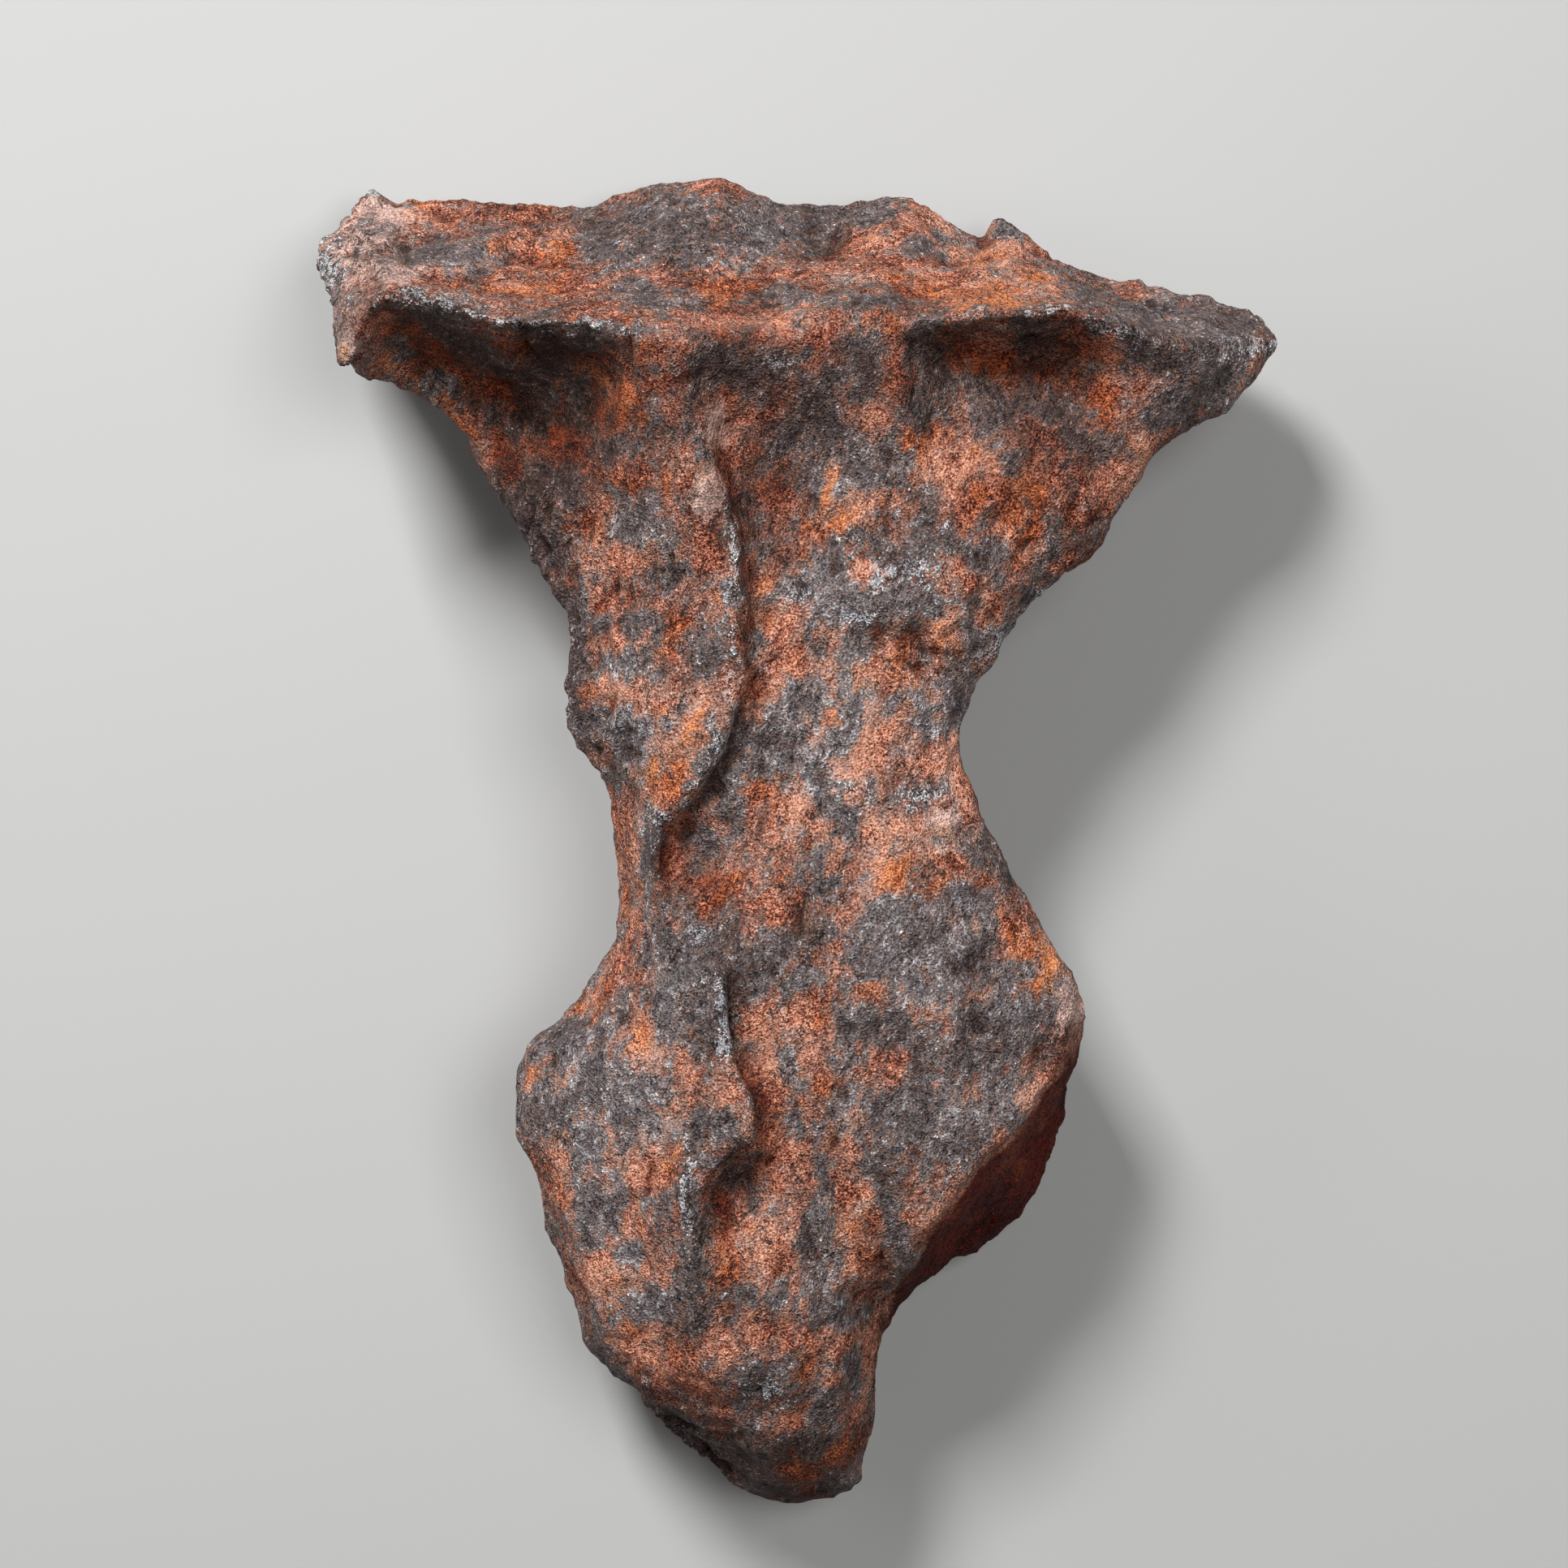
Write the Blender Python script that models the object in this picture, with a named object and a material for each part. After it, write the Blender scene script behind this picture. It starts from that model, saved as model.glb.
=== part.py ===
"""An iron meteorite: a torn, rusted lump with a wide flaring head, a narrow waist and a blunt nose.

It lies on its back on three small worn flats. +X runs across the head, +Y from the nose to the head,
and +Z is up, with the crest, the head's rim and the hollows under it on top. The origin is on the
bench, under the middle of the lump's box.

Feature lines give the form: each is a list of (across, along, height) points in millimetres, from the
middle of the lump as seen from above. The skin stretched between them is remeshed, rounded, dented
and roughened, then thinned to a light faceted solid.
"""

import math

import bmesh
import bpy
import numpy as np
from mathutils import Vector, noise
from mathutils.geometry import delaunay_2d_cdt

LENGTH = 0.180  # nose to the head's farthest bump
UNIT = 0.001  # one step of the feature lines, before the lump is brought to its length

# The flanks lean in: a point at this height is where the lines draw it, and higher or lower ones
# move towards or away from the upright axis, which they would all reach at the far height.
LEAN_AXIS = (-2.0, 7.3)
LEAN_LEVEL = 30.0
LEAN_REACH = 560.0

VOXEL = 1.1  # the grain of the remeshed skin
EDGE_INSET = 1.8  # how far in from the border the blunt edge starts
FACETS = 9400  # triangles left after thinning

# The border seen from above. Each stretch has the rise of its top side and the drop of its underside
# at the blunt edge, then its points.
BORDER = {
    "rear rim": (
        4.2,
        3.0,
        [
            (-59.5, 86.5, 9), (-57.0, 87.3, 8), (-54.5, 85.8, 8), (-48, 85.2, 8), (-38, 86.0, 8),
            (-33, 85.2, 8), (-28, 85.0, 8), (-24, 86.8, 8), (-20.5, 88.6, 9), (-15, 88.4, 9),
            (-9.5, 89.0, 9), (-6, 86.6, 9), (-3, 85.0, 9), (5, 84.7, 9), (10, 85.6, 9),
            (15, 86.4, 9), (19, 83.6, 10), (24.6, 80.4, 10), (25.7, 83.0, 9), (28.5, 83.1, 9),
            (31, 80.5, 10), (33.5, 77.8, 11), (39, 75.6, 12), (45, 75.2, 13), (50, 73.8, 14),
            (57, 71.4, 16), (62, 70.7, 19),
        ],
    ),
    "right wing": (
        2.2,
        7.0,
        [
            (64.7, 67.3, 23), (64, 64.5, 24), (60, 61, 26), (57, 57, 27.5), (51, 54, 29),
            (47, 50, 29.5), (43.3, 45.5, 30), (40.5, 40, 30), (39, 37.5, 30.5), (36.5, 35.5, 30.5),
            (33, 33.5, 31), (28, 28.8, 31.5),
        ],
    ),
    "right waist": (
        2.4,
        11.0,
        [
            (27.2, 25.5, 31.5), (23.3, 20, 32), (21.5, 14.5, 32.5), (21.7, 11, 32.5),
            (23.5, 5, 32.5), (25.2, 1, 32), (29, -5.5, 31.5), (33.5, -13.5, 31), (37, -19, 30),
            (38.8, -23.5, 28.5),
        ],
    ),
    "right foot": (
        3.5,
        3.0,
        [
            (38.3, -28, 20), (36.5, -34, 14), (34.5, -41, 10), (32.5, -46, 9), (30, -50.3, 8),
            (25, -54.8, 8), (19.5, -57.3, 10), (14.3, -61.3, 14),
        ],
    ),
    "nose": (
        4.0,
        5.0,
        [
            (11.6, -67.3, 20), (10.7, -70.5, 21), (11.1, -74, 20), (9.6, -81, 18), (8.5, -86.3, 15),
            (5, -88.5, 13), (0, -89, 13), (-6, -88.5, 13), (-10, -86, 14), (-10.6, -84.6, 14),
            (-16, -81, 15), (-22, -75.5, 17), (-26.5, -71.3, 19), (-29.8, -66.8, 20),
        ],
    ),
    "left lobe": (
        3.2,
        9.0,
        [
            (-31, -61.5, 21), (-33.5, -53, 23), (-35.8, -46, 24), (-38.2, -39.5, 25),
            (-38.1, -34, 25.5), (-37, -28.5, 26), (-35, -26, 26), (-31, -23.5, 26),
            (-27.5, -19.5, 26), (-25, -14, 26), (-24.8, -7, 26),
        ],
    ),
    "left waist": (
        2.8,
        9.0,
        [
            (-25.7, 0, 26.5), (-25.7, 5, 27), (-27.5, 10.5, 28), (-31, 14, 28.5), (-31.5, 21, 29),
            (-30.6, 28.5, 29), (-32, 33, 28.5), (-35, 36.5, 27.5), (-38.5, 42, 26.5),
            (-41.5, 48.5, 25),
        ],
    ),
    "left wing": (
        2.6,
        3.0,
        [
            (-45, 53.8, 24), (-50, 58, 26), (-56, 61, 29), (-59.5, 61.8, 33), (-61.3, 62.8, 37),
            (-62.9, 67, 34), (-64.0, 72, 28), (-64.8, 77.5, 21), (-63.7, 81.3, 16), (-61, 83.6, 12),
            (-58.8, 84.8, 10),
        ],
    ),
}

# Lines on the upper side.
RIM = [
    (-60.3, 64.6, 41), (-59.5, 67.5, 43), (-59.2, 70, 44), (-57, 71.4, 45), (-54, 72.9, 46),
    (-50, 72.4, 46.5), (-46, 71.0, 47), (-41, 69.6, 47), (-36.5, 68.7, 47), (-33, 69.4, 47),
    (-27, 69.0, 48), (-23, 68.2, 48.5), (-19, 67.2, 48.8), (-14, 67.0, 48), (-8, 67.2, 46.6),
    (-2, 68.0, 45.2), (5, 70.5, 44), (12, 71.0, 43.8), (17, 69.3, 44), (21, 69.7, 44.5),
    (25, 70.2, 45), (30, 70.2, 45), (35.5, 71.0, 44.5), (39, 69.9, 43), (44, 68.6, 41),
    (48, 66.3, 39), (54, 66.6, 34), (60, 67.2, 28),
]
UNDER_LEFT_RIM = [
    (-57.6, 63.8, 35), (-56.2, 66.5, 35.5), (-54, 68.3, 36.5), (-50.5, 68.3, 37), (-46, 67.0, 38),
    (-41, 65.8, 38), (-36.5, 65.0, 38), (-32, 65.4, 38.5), (-27, 65.2, 41), (-23, 65.0, 44.5),
]
UNDER_RIGHT_RIM = [
    (14.5, 65.5, 41), (17, 66.4, 39), (20.5, 66.4, 37), (24, 66.6, 36.5), (30, 66.6, 36.5),
    (36, 66.9, 36.5), (41, 65.6, 36.5), (45, 63.8, 35.5),
]
UPPER_CREST = [
    (-16.8, 64.5, 48), (-16.3, 60.5, 46.8), (-15, 56.5, 45.6), (-13.2, 52, 44.8), (-11.2, 47.5, 44.3),
    (-9.4, 43, 44.1), (-8.6, 38.5, 44), (-9.1, 33, 43.8), (-9.2, 26, 43.8), (-9.8, 20, 43.8),
    (-11.7, 15, 43.4), (-13.3, 9.5, 43), (-15.8, 5.8, 42.2), (-18.8, 2.5, 41), (-19.5, -2, 40),
    (-18.5, -7, 40), (-15, -12, 40.3),
]
CREST_FOOT = [
    (-10.6, 59.5, 43), (-9.6, 54, 40.6), (-7.2, 48.5, 39.3), (-5.4, 43.5, 38.8), (-4.7, 38.5, 38.6),
    (-5.4, 32.5, 39), (-5.6, 25.5, 39.4), (-6.6, 19, 40), (-8.9, 14, 40.3), (-10.7, 9, 40.2),
    (-13.3, 5, 39.2), (-16.3, 1.5, 37.8), (-16.9, -3, 37), (-15.4, -7.5, 37.8),
]
LOWER_CREST = [
    (-12.5, -16, 41.5), (-10.8, -21, 42.5), (-10, -26, 43.2), (-9.2, -30.5, 43.4),
    (-7.3, -35, 43.4), (-6.3, -39.2, 43), (-9, -42.6, 42.5), (-12.3, -45, 42), (-14.3, -50, 41.5),
    (-13.8, -57, 40), (-13, -64, 38), (-12, -71, 35.5),
]
LOWER_FOOT = [
    (-8.8, -20, 40.5), (-7.4, -27, 40.3), (-5, -33, 40), (-3.6, -39.5, 39.5), (-5, -44, 38),
    (-8.6, -47, 37.2), (-11, -52, 37.8), (-10.5, -58, 37.8), (-9, -65, 36.5),
]
FOOT_EDGE = [
    (36.2, -28.0, 30.5), (31.7, -34.5, 33.5), (27.7, -39.5, 34.8), (24.2, -43.2, 35.3),
    (20.7, -47.8, 35.5), (17.4, -51.8, 35), (15.2, -55.8, 33), (12.9, -59.5, 30),
]
LEFT_SHOULDER = [
    (-38.5, 49, 29), (-34.5, 42, 30.5), (-31.5, 37, 31.5), (-28.3, 32, 32.5), (-27.6, 24, 33),
    (-27.6, 17, 33), (-24.5, 11.5, 33), (-22.5, 5, 33), (-22.3, -1, 33), (-21.8, -8, 33),
    (-22, -14, 33.5), (-25, -20, 33),
]
LOBE_SHOULDER = [
    (-30.5, -26.3, 32), (-33.8, -30, 31), (-34.8, -37, 30.5), (-33, -44, 31), (-30.5, -52, 31),
    (-28, -60, 30.5), (-26, -66, 29.5), (-22.5, -70.5, 28), (-18, -75, 27.5), (-12.5, -79.5, 26),
]
RIGHT_LEDGE = [
    (54.5, 58.8, 31), (48, 54.8, 32.3), (43.6, 49.5, 32.8), (40.2, 44.5, 32.8), (37.8, 40, 33),
    (34.2, 37, 33.8), (29.5, 33, 34.5), (24.8, 28, 35), (21.4, 22, 35.5), (18.9, 15.5, 35.5),
    (18.7, 10.5, 35.6), (20.6, 4.5, 35.6), (23, -0.5, 35.2), (26.6, -7, 34.8), (31, -14.5, 34),
    (35, -20, 32.5),
]
TOP_SPOTS = [
    # the head's slanting top face
    (-58, 75, 32), (-57, 80, 25), (-51, 81.5, 20), (-50, 76, 30), (-43, 75.5, 29), (-42, 80.5, 21),
    (-35, 74.5, 30), (-36, 80, 19.5), (-28, 75, 29), (-29, 80, 20), (-22, 73.5, 31),
    (-22, 79.5, 24), (-18, 84, 19), (-15, 75.5, 30), (-13, 80.5, 25), (-11, 85.5, 17),
    (-6, 73.5, 31.5), (-5, 80, 22), (2, 75, 31), (4, 79.5, 19), (9, 82.5, 17), (11, 77, 27),
    (15, 82, 18), (18, 74.5, 31), (22, 78.5, 20), (27.5, 79.8, 16), (27, 75, 27), (33, 75, 22),
    (38, 72.8, 27), (45, 71.6, 24), (53, 69.6, 25.5),
    # the hollow under the left rim
    (-52, 64.5, 30), (-46, 62.5, 28.5), (-40, 60.5, 28), (-34, 60, 29.5), (-27, 60.5, 34.5),
    (-51.5, 61.3, 28), (-45, 57, 25.8), (-38, 53.5, 27), (-32, 53, 30), (-27, 54, 35),
    (-33.5, 46, 31.5), (-29, 47, 35), (-23.5, 52, 39.5),
    # below the middle of the rim
    (-22, 62, 43.5), (-19.5, 53.5, 42.5), (-8, 63.5, 45.2), (-2, 63, 43.9), (6, 65, 43.2), (3, 59, 41.2),
    # the hollow under the right rim
    (13, 61, 41.5), (14.5, 56, 40.5), (20, 62.5, 35.5), (28, 62.8, 33), (36, 62.3, 33),
    (42, 60.5, 33.5), (20, 57, 37.3), (29, 56.5, 36), (37, 54.5, 35), (45.5, 56.5, 34),
    (53, 61, 33), (59, 63.5, 29.5),
    # the broad channel right of the crest
    (-1, 53, 38.2), (8, 51, 38.2), (17, 47.5, 38.2), (26, 45, 37.2), (34, 44, 35), (40, 48, 33.5),
    (1, 40, 37.3), (10, 38.5, 38.6), (19, 37.5, 39.2), (27, 36.5, 37.3), (32.5, 37.8, 34.5),
    (5, 32.8, 39.3), (13, 33, 40.6), (21, 32, 39.3), (27, 31.5, 36),
    (0, 27, 38), (9, 27, 38.2), (17, 26.5, 38), (22, 24.5, 36),
    (-3, 14, 39), (6, 14, 38.8), (13, 13.5, 38), (17.5, 13, 36.6),
    (-6, 2, 38.8), (3, 1, 38.8), (13, 1, 38.6), (20.5, 1, 36.5),
    (-11.5, -2, 36.8), (-9, -9, 39.3), (1, -11, 40), (12, -11, 39.8), (21, -9.5, 38),
    (28, -11.5, 35), (33, -18.5, 33.5),
    # the right foot's broad front
    (0, -22, 40.2), (10, -22, 39.8), (20, -22, 38.8), (28.5, -22, 37), (35.5, -24.2, 32.5),
    (1, -33, 39.3), (10, -33, 38.8), (20, -31, 37.8), (27, -32, 35.5),
    (2, -44, 38.4), (12, -43, 37.2), (8.5, -51, 36.5),
    # the flank left of the crest
    (-26, 43, 36), (-20, 45, 41), (-20, 35, 39.5), (-19, 26, 40.3), (-19.5, 17, 40.3),
    (-19, 9, 40), (-21.2, 1, 36.8), (-18.5, -12.5, 38.5),
    (-18.5, -22, 40), (-26, -30, 37), (-18, -32, 41), (-26.5, -42, 36.5), (-18, -43, 40),
    (-24, -53, 35.5), (-19, -63, 34.5), (-17, -71, 32),
    # the nose
    (-1, -54, 38), (6, -60, 34.5), (-1, -63, 37), (6.3, -69, 32), (-2, -72, 34.8), (5.8, -78, 29),
    (-7.5, -78, 30.8), (-1, -81, 28.8), (4.5, -84, 24), (-4.5, -85.2, 24),
]

# Lines and spots on the underside, which rests on three worn flats.
FLAT_DEPTH = 1.2  # how far the flats' material would reach below the bench
UNDERSIDE_SPOTS = [
    # behind the head, with a flat near each end
    (-56, 79, 3), (-46, 80, -FLAT_DEPTH), (-47, 73, -FLAT_DEPTH), (-39, 76.5, -FLAT_DEPTH),
    (-30, 79, 3), (-18, 81, 4.5), (-4, 78, 5), (8, 79, 4.5), (20, 76, 2.5),
    (28, 77, -FLAT_DEPTH), (26, 69, -FLAT_DEPTH), (36, 71, -FLAT_DEPTH),
    (45, 69, 5), (55, 67, 11),
    (-54, 70, 7), (-37, 65, 6), (-22, 67, 7), (-6, 66, 8.5), (10, 66, 6.5), (44, 60, 11),
    (-48, 63, 14), (-36, 54, 12), (36, 54, 11),
    # the arched back of the waist
    (-26, 50, 9), (-8, 52, 8), (10, 52, 6.5), (24, 52, 7), (-26, 36, 11.5), (-9, 38, 7),
    (8, 37, 7.5), (24, 37, 11), (-20, 22, 11), (-4, 24, 7.5), (11, 22, 9.5),
    (-18, 5, 11.5), (-2, 8, 9), (14, 6, 11),
    # the foot and its flat
    (-18, -10, 10), (-2, -8, 7.5), (16, -8, 9), (26, -14, 12),
    (-26, -26, 8.5), (-10, -24, 4), (8, -24, 3.5), (24, -26, 7.5), (31, -34, 8),
    (-11, -40, -FLAT_DEPTH), (3, -41, -FLAT_DEPTH), (-4, -50, -FLAT_DEPTH), (-4, -35, 0.2),
    (-26, -44, 8), (18, -40, 3.5), (25, -46, 4.5), (-21, -58, 8), (11, -52, 3.5), (-4, -61, 3.5),
    (6, -66, 7.5), (-17, -68, 8.5), (-3, -75, 8), (-12, -77, 9.5), (3, -83, 9.5),
]

# Thumbprint hollows melted and torn into the skin: centre, radius and depth, in millimetres.
HOLLOWS = [
    ((-53, 80, 24), 8, 1.2), ((-37.5, 79, 24), 6, 1.6), ((4, 80, 20), 9, 1.2),
    ((22, 78, 22), 6, 0.9), ((47, 72, 22), 6, 0.9), ((-12.5, -1.5, 38), 6.5, 1.2),
    ((-8, -46, 38), 6, 1.0), ((-31, 22, 22), 7, 1.2), ((24, 8, 24), 8, 1.2),
    ((-24, -2, 24), 8, 1.2), ((33, -44, 18), 9, 1.6), ((23, -53, 18), 8, 1.2),
    ((-36, -45, 20), 8, 1.2), ((-22, -74, 18), 7, 1.0), ((-12, 68, 4), 11, 2.6),
    ((12, 62, 5), 10, 2.2), ((-30, 60, 7), 10, 2.4), ((38, 60, 9), 9, 2.0),
    ((-16, 44, 8), 10, 2.4), ((8, 46, 7), 11, 2.4), ((22, 30, 12), 9, 2.0),
    ((-22, 26, 12), 8, 1.8), ((-4, 20, 8), 10, 2.2), ((12, 6, 10), 9, 2.0),
    ((-14, -4, 10), 9, 2.0), ((4, -16, 6), 10, 2.0), ((24, -22, 9), 9, 2.0),
    ((-24, -22, 10), 8, 1.8), ((22, -42, 4), 8, 1.6), ((-22, -50, 8), 9, 1.8),
    ((-4, -68, 6), 8, 1.8), ((58, 64, 14), 7, 1.2), ((-60, 72, 14), 7, 1.4),
]
# Lines that stay sharp, each with how far around it the skin is drawn to it, in millimetres.
SHARP_LINES = [
    (RIM[:13], 2.2), (RIM[18:], 2.0), (UPPER_CREST, 2.4), (LOWER_CREST, 2.2), (FOOT_EDGE, 2.6),
]
ROUGHNESS = [(13.0, 0.75), (6.0, 0.40), (3.2, 0.22)]  # (wavelength, height) of the skin's swells


def clear_scene():
    """Removes every object that the scene starts with."""
    for obj in list(bpy.data.objects):
        bpy.data.objects.remove(obj)


def border_points():
    """The closed border, as (points, rises, drops)."""
    points, rises, drops = [], [], []
    for rise, drop, stretch in BORDER.values():
        points += stretch
        rises += [rise] * len(stretch)
        drops += [drop] * len(stretch)
    return points, rises, drops


def inset_ring(points, lifts):
    """Points a little way in from the border, lifted to make its edge blunt."""
    ring = []
    for i, (x, y, z) in enumerate(points):
        before, after = points[i - 1], points[(i + 1) % len(points)]
        along = Vector((after[0] - before[0], after[1] - before[1])).normalized()
        inward = Vector((along.y, -along.x))
        ring.append((x + inward.x * EDGE_INSET, y + inward.y * EDGE_INSET, z + lifts[i]))
    return ring


def stretched_skin(border, lines, spots):
    """Triangles over the inside of the border: (points, faces), with the border's points first."""
    points = list(border)
    edges = [(i, (i + 1) % len(border)) for i in range(len(border))]
    for line in lines:
        start = len(points)
        points += line
        edges += [(start + i, start + i + 1) for i in range(len(line) - 1)]
    points += spots
    flat = [Vector(p[:2]) for p in points]
    made, _, faces, sources, _, _ = delaunay_2d_cdt(flat, edges, [], 1, 1e-4)
    if len(made) != len(points):
        raise ValueError(f"feature lines cross: {len(points)} points became {len(made)}")
    faces = [[sources[i][0] for i in face] for face in faces]
    return points, faces


def leaned(points):
    """The points after the flanks lean in towards the upright axis."""
    axis = np.array(LEAN_AXIS)
    share = 1.0 - (points[:, 2:3] - LEAN_LEVEL) / LEAN_REACH
    points = points.copy()
    points[:, :2] = axis + (points[:, :2] - axis) * share
    return points


def rough_body():
    """The closed skin through all the feature lines, as a mesh object in metres."""
    border, rises, drops = border_points()
    top, top_faces = stretched_skin(
        border,
        [
            RIM, UNDER_LEFT_RIM, UNDER_RIGHT_RIM, UPPER_CREST, CREST_FOOT, LOWER_CREST,
            LOWER_FOOT, FOOT_EDGE, LEFT_SHOULDER, LOBE_SHOULDER, RIGHT_LEDGE,
        ],
        TOP_SPOTS + inset_ring(border, rises),
    )
    under, under_faces = stretched_skin(
        border, [], UNDERSIDE_SPOTS + inset_ring(border, [-drop for drop in drops])
    )
    shift = len(top) - len(border)
    under_index = [i if i < len(border) else i + shift for i in range(len(under))]
    points = leaned(np.array(top + under[len(border):], float)) * UNIT
    faces = top_faces + [[under_index[i] for i in reversed(face)] for face in under_faces]
    mesh = bpy.data.meshes.new("meteorite")
    mesh.from_pydata(points.tolist(), [], faces)
    mesh.validate()
    body = bpy.data.objects.new("meteorite", mesh)
    bpy.context.scene.collection.objects.link(body)
    return body


def apply_modifiers(obj):
    """Replaces the object's mesh by what its modifiers make of it."""
    graph = bpy.context.evaluated_depsgraph_get()
    graph.update()
    mesh = bpy.data.meshes.new_from_object(obj.evaluated_get(graph))
    old = obj.data
    obj.modifiers.clear()
    obj.data = mesh
    bpy.data.meshes.remove(old)
    mesh.name = obj.name


def remesh(obj, voxel):
    """Gives the object an even skin."""
    modifier = obj.modifiers.new("even skin", "REMESH")
    modifier.mode = "VOXEL"
    modifier.voxel_size = voxel * UNIT
    apply_modifiers(obj)


def thin(obj, triangles):
    """Collapses the skin's smallest edges until about this many triangles are left."""
    obj.data.calc_loop_triangles()
    modifier = obj.modifiers.new("thinned", "DECIMATE")
    modifier.ratio = triangles / len(obj.data.loop_triangles)
    modifier.use_collapse_triangulate = True
    apply_modifiers(obj)


def read_points(mesh, name="co"):
    """The mesh's points or point normals as an array."""
    values = np.empty(len(mesh.vertices) * 3, np.float32)
    mesh.vertices.foreach_get(name, values)
    return values.reshape(-1, 3).astype(float)


def write_points(mesh, points):
    """Moves the mesh's points."""
    mesh.vertices.foreach_set("co", points.astype(np.float32).ravel())
    mesh.update()


def smooth(mesh, share, rounds):
    """Draws each point towards the mean of its neighbours."""
    ends = np.empty(len(mesh.edges) * 2, np.int32)
    mesh.edges.foreach_get("vertices", ends)
    a, b = ends.reshape(-1, 2).T
    count = np.bincount(ends, minlength=len(mesh.vertices))[:, None]
    points = read_points(mesh)
    for _ in range(rounds):
        total = np.zeros_like(points)
        np.add.at(total, a, points[b])
        np.add.at(total, b, points[a])
        points += share * (total / count - points)
    write_points(mesh, points)


def press_hollows(mesh):
    """Presses each thumbprint hollow into the skin nearest to it."""
    points, normals = read_points(mesh), read_points(mesh, "normal")
    for centre, radius, depth in HOLLOWS:
        centre = leaned(np.array([centre], float))[0] * UNIT
        near = np.argmin(((points - centre) ** 2).sum(1))
        away = np.linalg.norm(points - points[near], axis=1) / (radius * UNIT)
        facing = np.clip(normals @ normals[near], 0, 1)
        push = depth * UNIT * np.clip(1 - away**2, 0, 1) ** 2 * facing
        points -= push[:, None] * normals[near]
    write_points(mesh, points)


def sharpen_lines(mesh):
    """Draws the skin out to an edge along each sharp line."""
    points = read_points(mesh)
    for line, reach in SHARP_LINES:
        line = leaned(np.array(line, float)) * UNIT
        nearest = np.full(points.shape, 10.0)
        for start, end in zip(line[:-1], line[1:]):
            along = end - start
            share = np.clip((points - start) @ along / (along @ along), 0, 1)
            foot = start + share[:, None] * along
            closer = ((points - foot) ** 2).sum(1) < ((points - nearest) ** 2).sum(1)
            nearest[closer] = foot[closer]
        away = np.linalg.norm(points - nearest, axis=1)
        pull = 0.8 * np.clip(1 - away / (reach * UNIT), 0, 1)
        points += pull[:, None] * (nearest - points)
    write_points(mesh, points)


def roughen(mesh):
    """Raises low swells of several sizes over the whole skin."""
    points, normals = read_points(mesh), read_points(mesh, "normal")
    height = np.zeros(len(points))
    for wavelength, size in ROUGHNESS:
        scale = 1.0 / (wavelength * UNIT)
        height += [size * UNIT * noise.noise(Vector(p * scale)) for p in points]
    write_points(mesh, points + height[:, None] * normals)


def cut_flats(mesh):
    """Cuts off what reaches below the bench, which leaves three flats."""
    bm = bmesh.new()
    bm.from_mesh(mesh)
    geometry = bm.verts[:] + bm.edges[:] + bm.faces[:]
    bmesh.ops.bisect_plane(
        bm, geom=geometry, dist=1e-6, plane_co=(0, 0, 0), plane_no=(0, 0, 1), clear_inner=True
    )
    open_edges = [edge for edge in bm.edges if edge.is_boundary]
    filled = bmesh.ops.holes_fill(bm, edges=open_edges, sides=0)
    bmesh.ops.triangulate(bm, faces=filled["faces"])
    bmesh.ops.recalc_face_normals(bm, faces=bm.faces[:])
    bm.to_mesh(mesh)
    bm.free()


def bring_to_size(mesh):
    """Puts the origin under the middle of the lump's box and brings the lump to its length."""
    points = read_points(mesh)
    low, high = points.min(0), points.max(0)
    middle = (low + high) / 2
    scale = LENGTH / (high[1] - low[1])
    write_points(mesh, (points - np.array([middle[0], middle[1], 0.0])) * scale)
    print("middle in mm:", (middle / UNIT).round(3), "scale:", round(float(scale), 5))


def rusted_iron():
    """Rust brown over dark iron."""
    material = bpy.data.materials.new("rusted iron")
    material.use_nodes = True
    shader = material.node_tree.nodes["Principled BSDF"]
    shader.inputs["Base Color"].default_value = (0.16, 0.075, 0.045, 1)
    shader.inputs["Roughness"].default_value = 0.75
    shader.inputs["Metallic"].default_value = 0.25
    return material


def main():
    """Builds the meteorite."""
    clear_scene()
    body = rough_body()
    remesh(body, VOXEL)
    smooth(body.data, 0.5, 2)
    press_hollows(body.data)
    sharpen_lines(body.data)
    roughen(body.data)
    thin(body, FACETS)
    cut_flats(body.data)
    bring_to_size(body.data)
    body.data.shade_smooth()
    body.data.set_sharp_from_angle(angle=math.radians(40))
    body.data.materials.append(rusted_iron())


main()
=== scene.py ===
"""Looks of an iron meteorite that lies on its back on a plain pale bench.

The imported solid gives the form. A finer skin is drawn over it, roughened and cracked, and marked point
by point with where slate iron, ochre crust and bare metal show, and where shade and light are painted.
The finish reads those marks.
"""

import logging
import math
from collections.abc import Iterable
from dataclasses import dataclass, field
from enum import Enum

import bpy
import numpy as np
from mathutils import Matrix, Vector, noise


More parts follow.
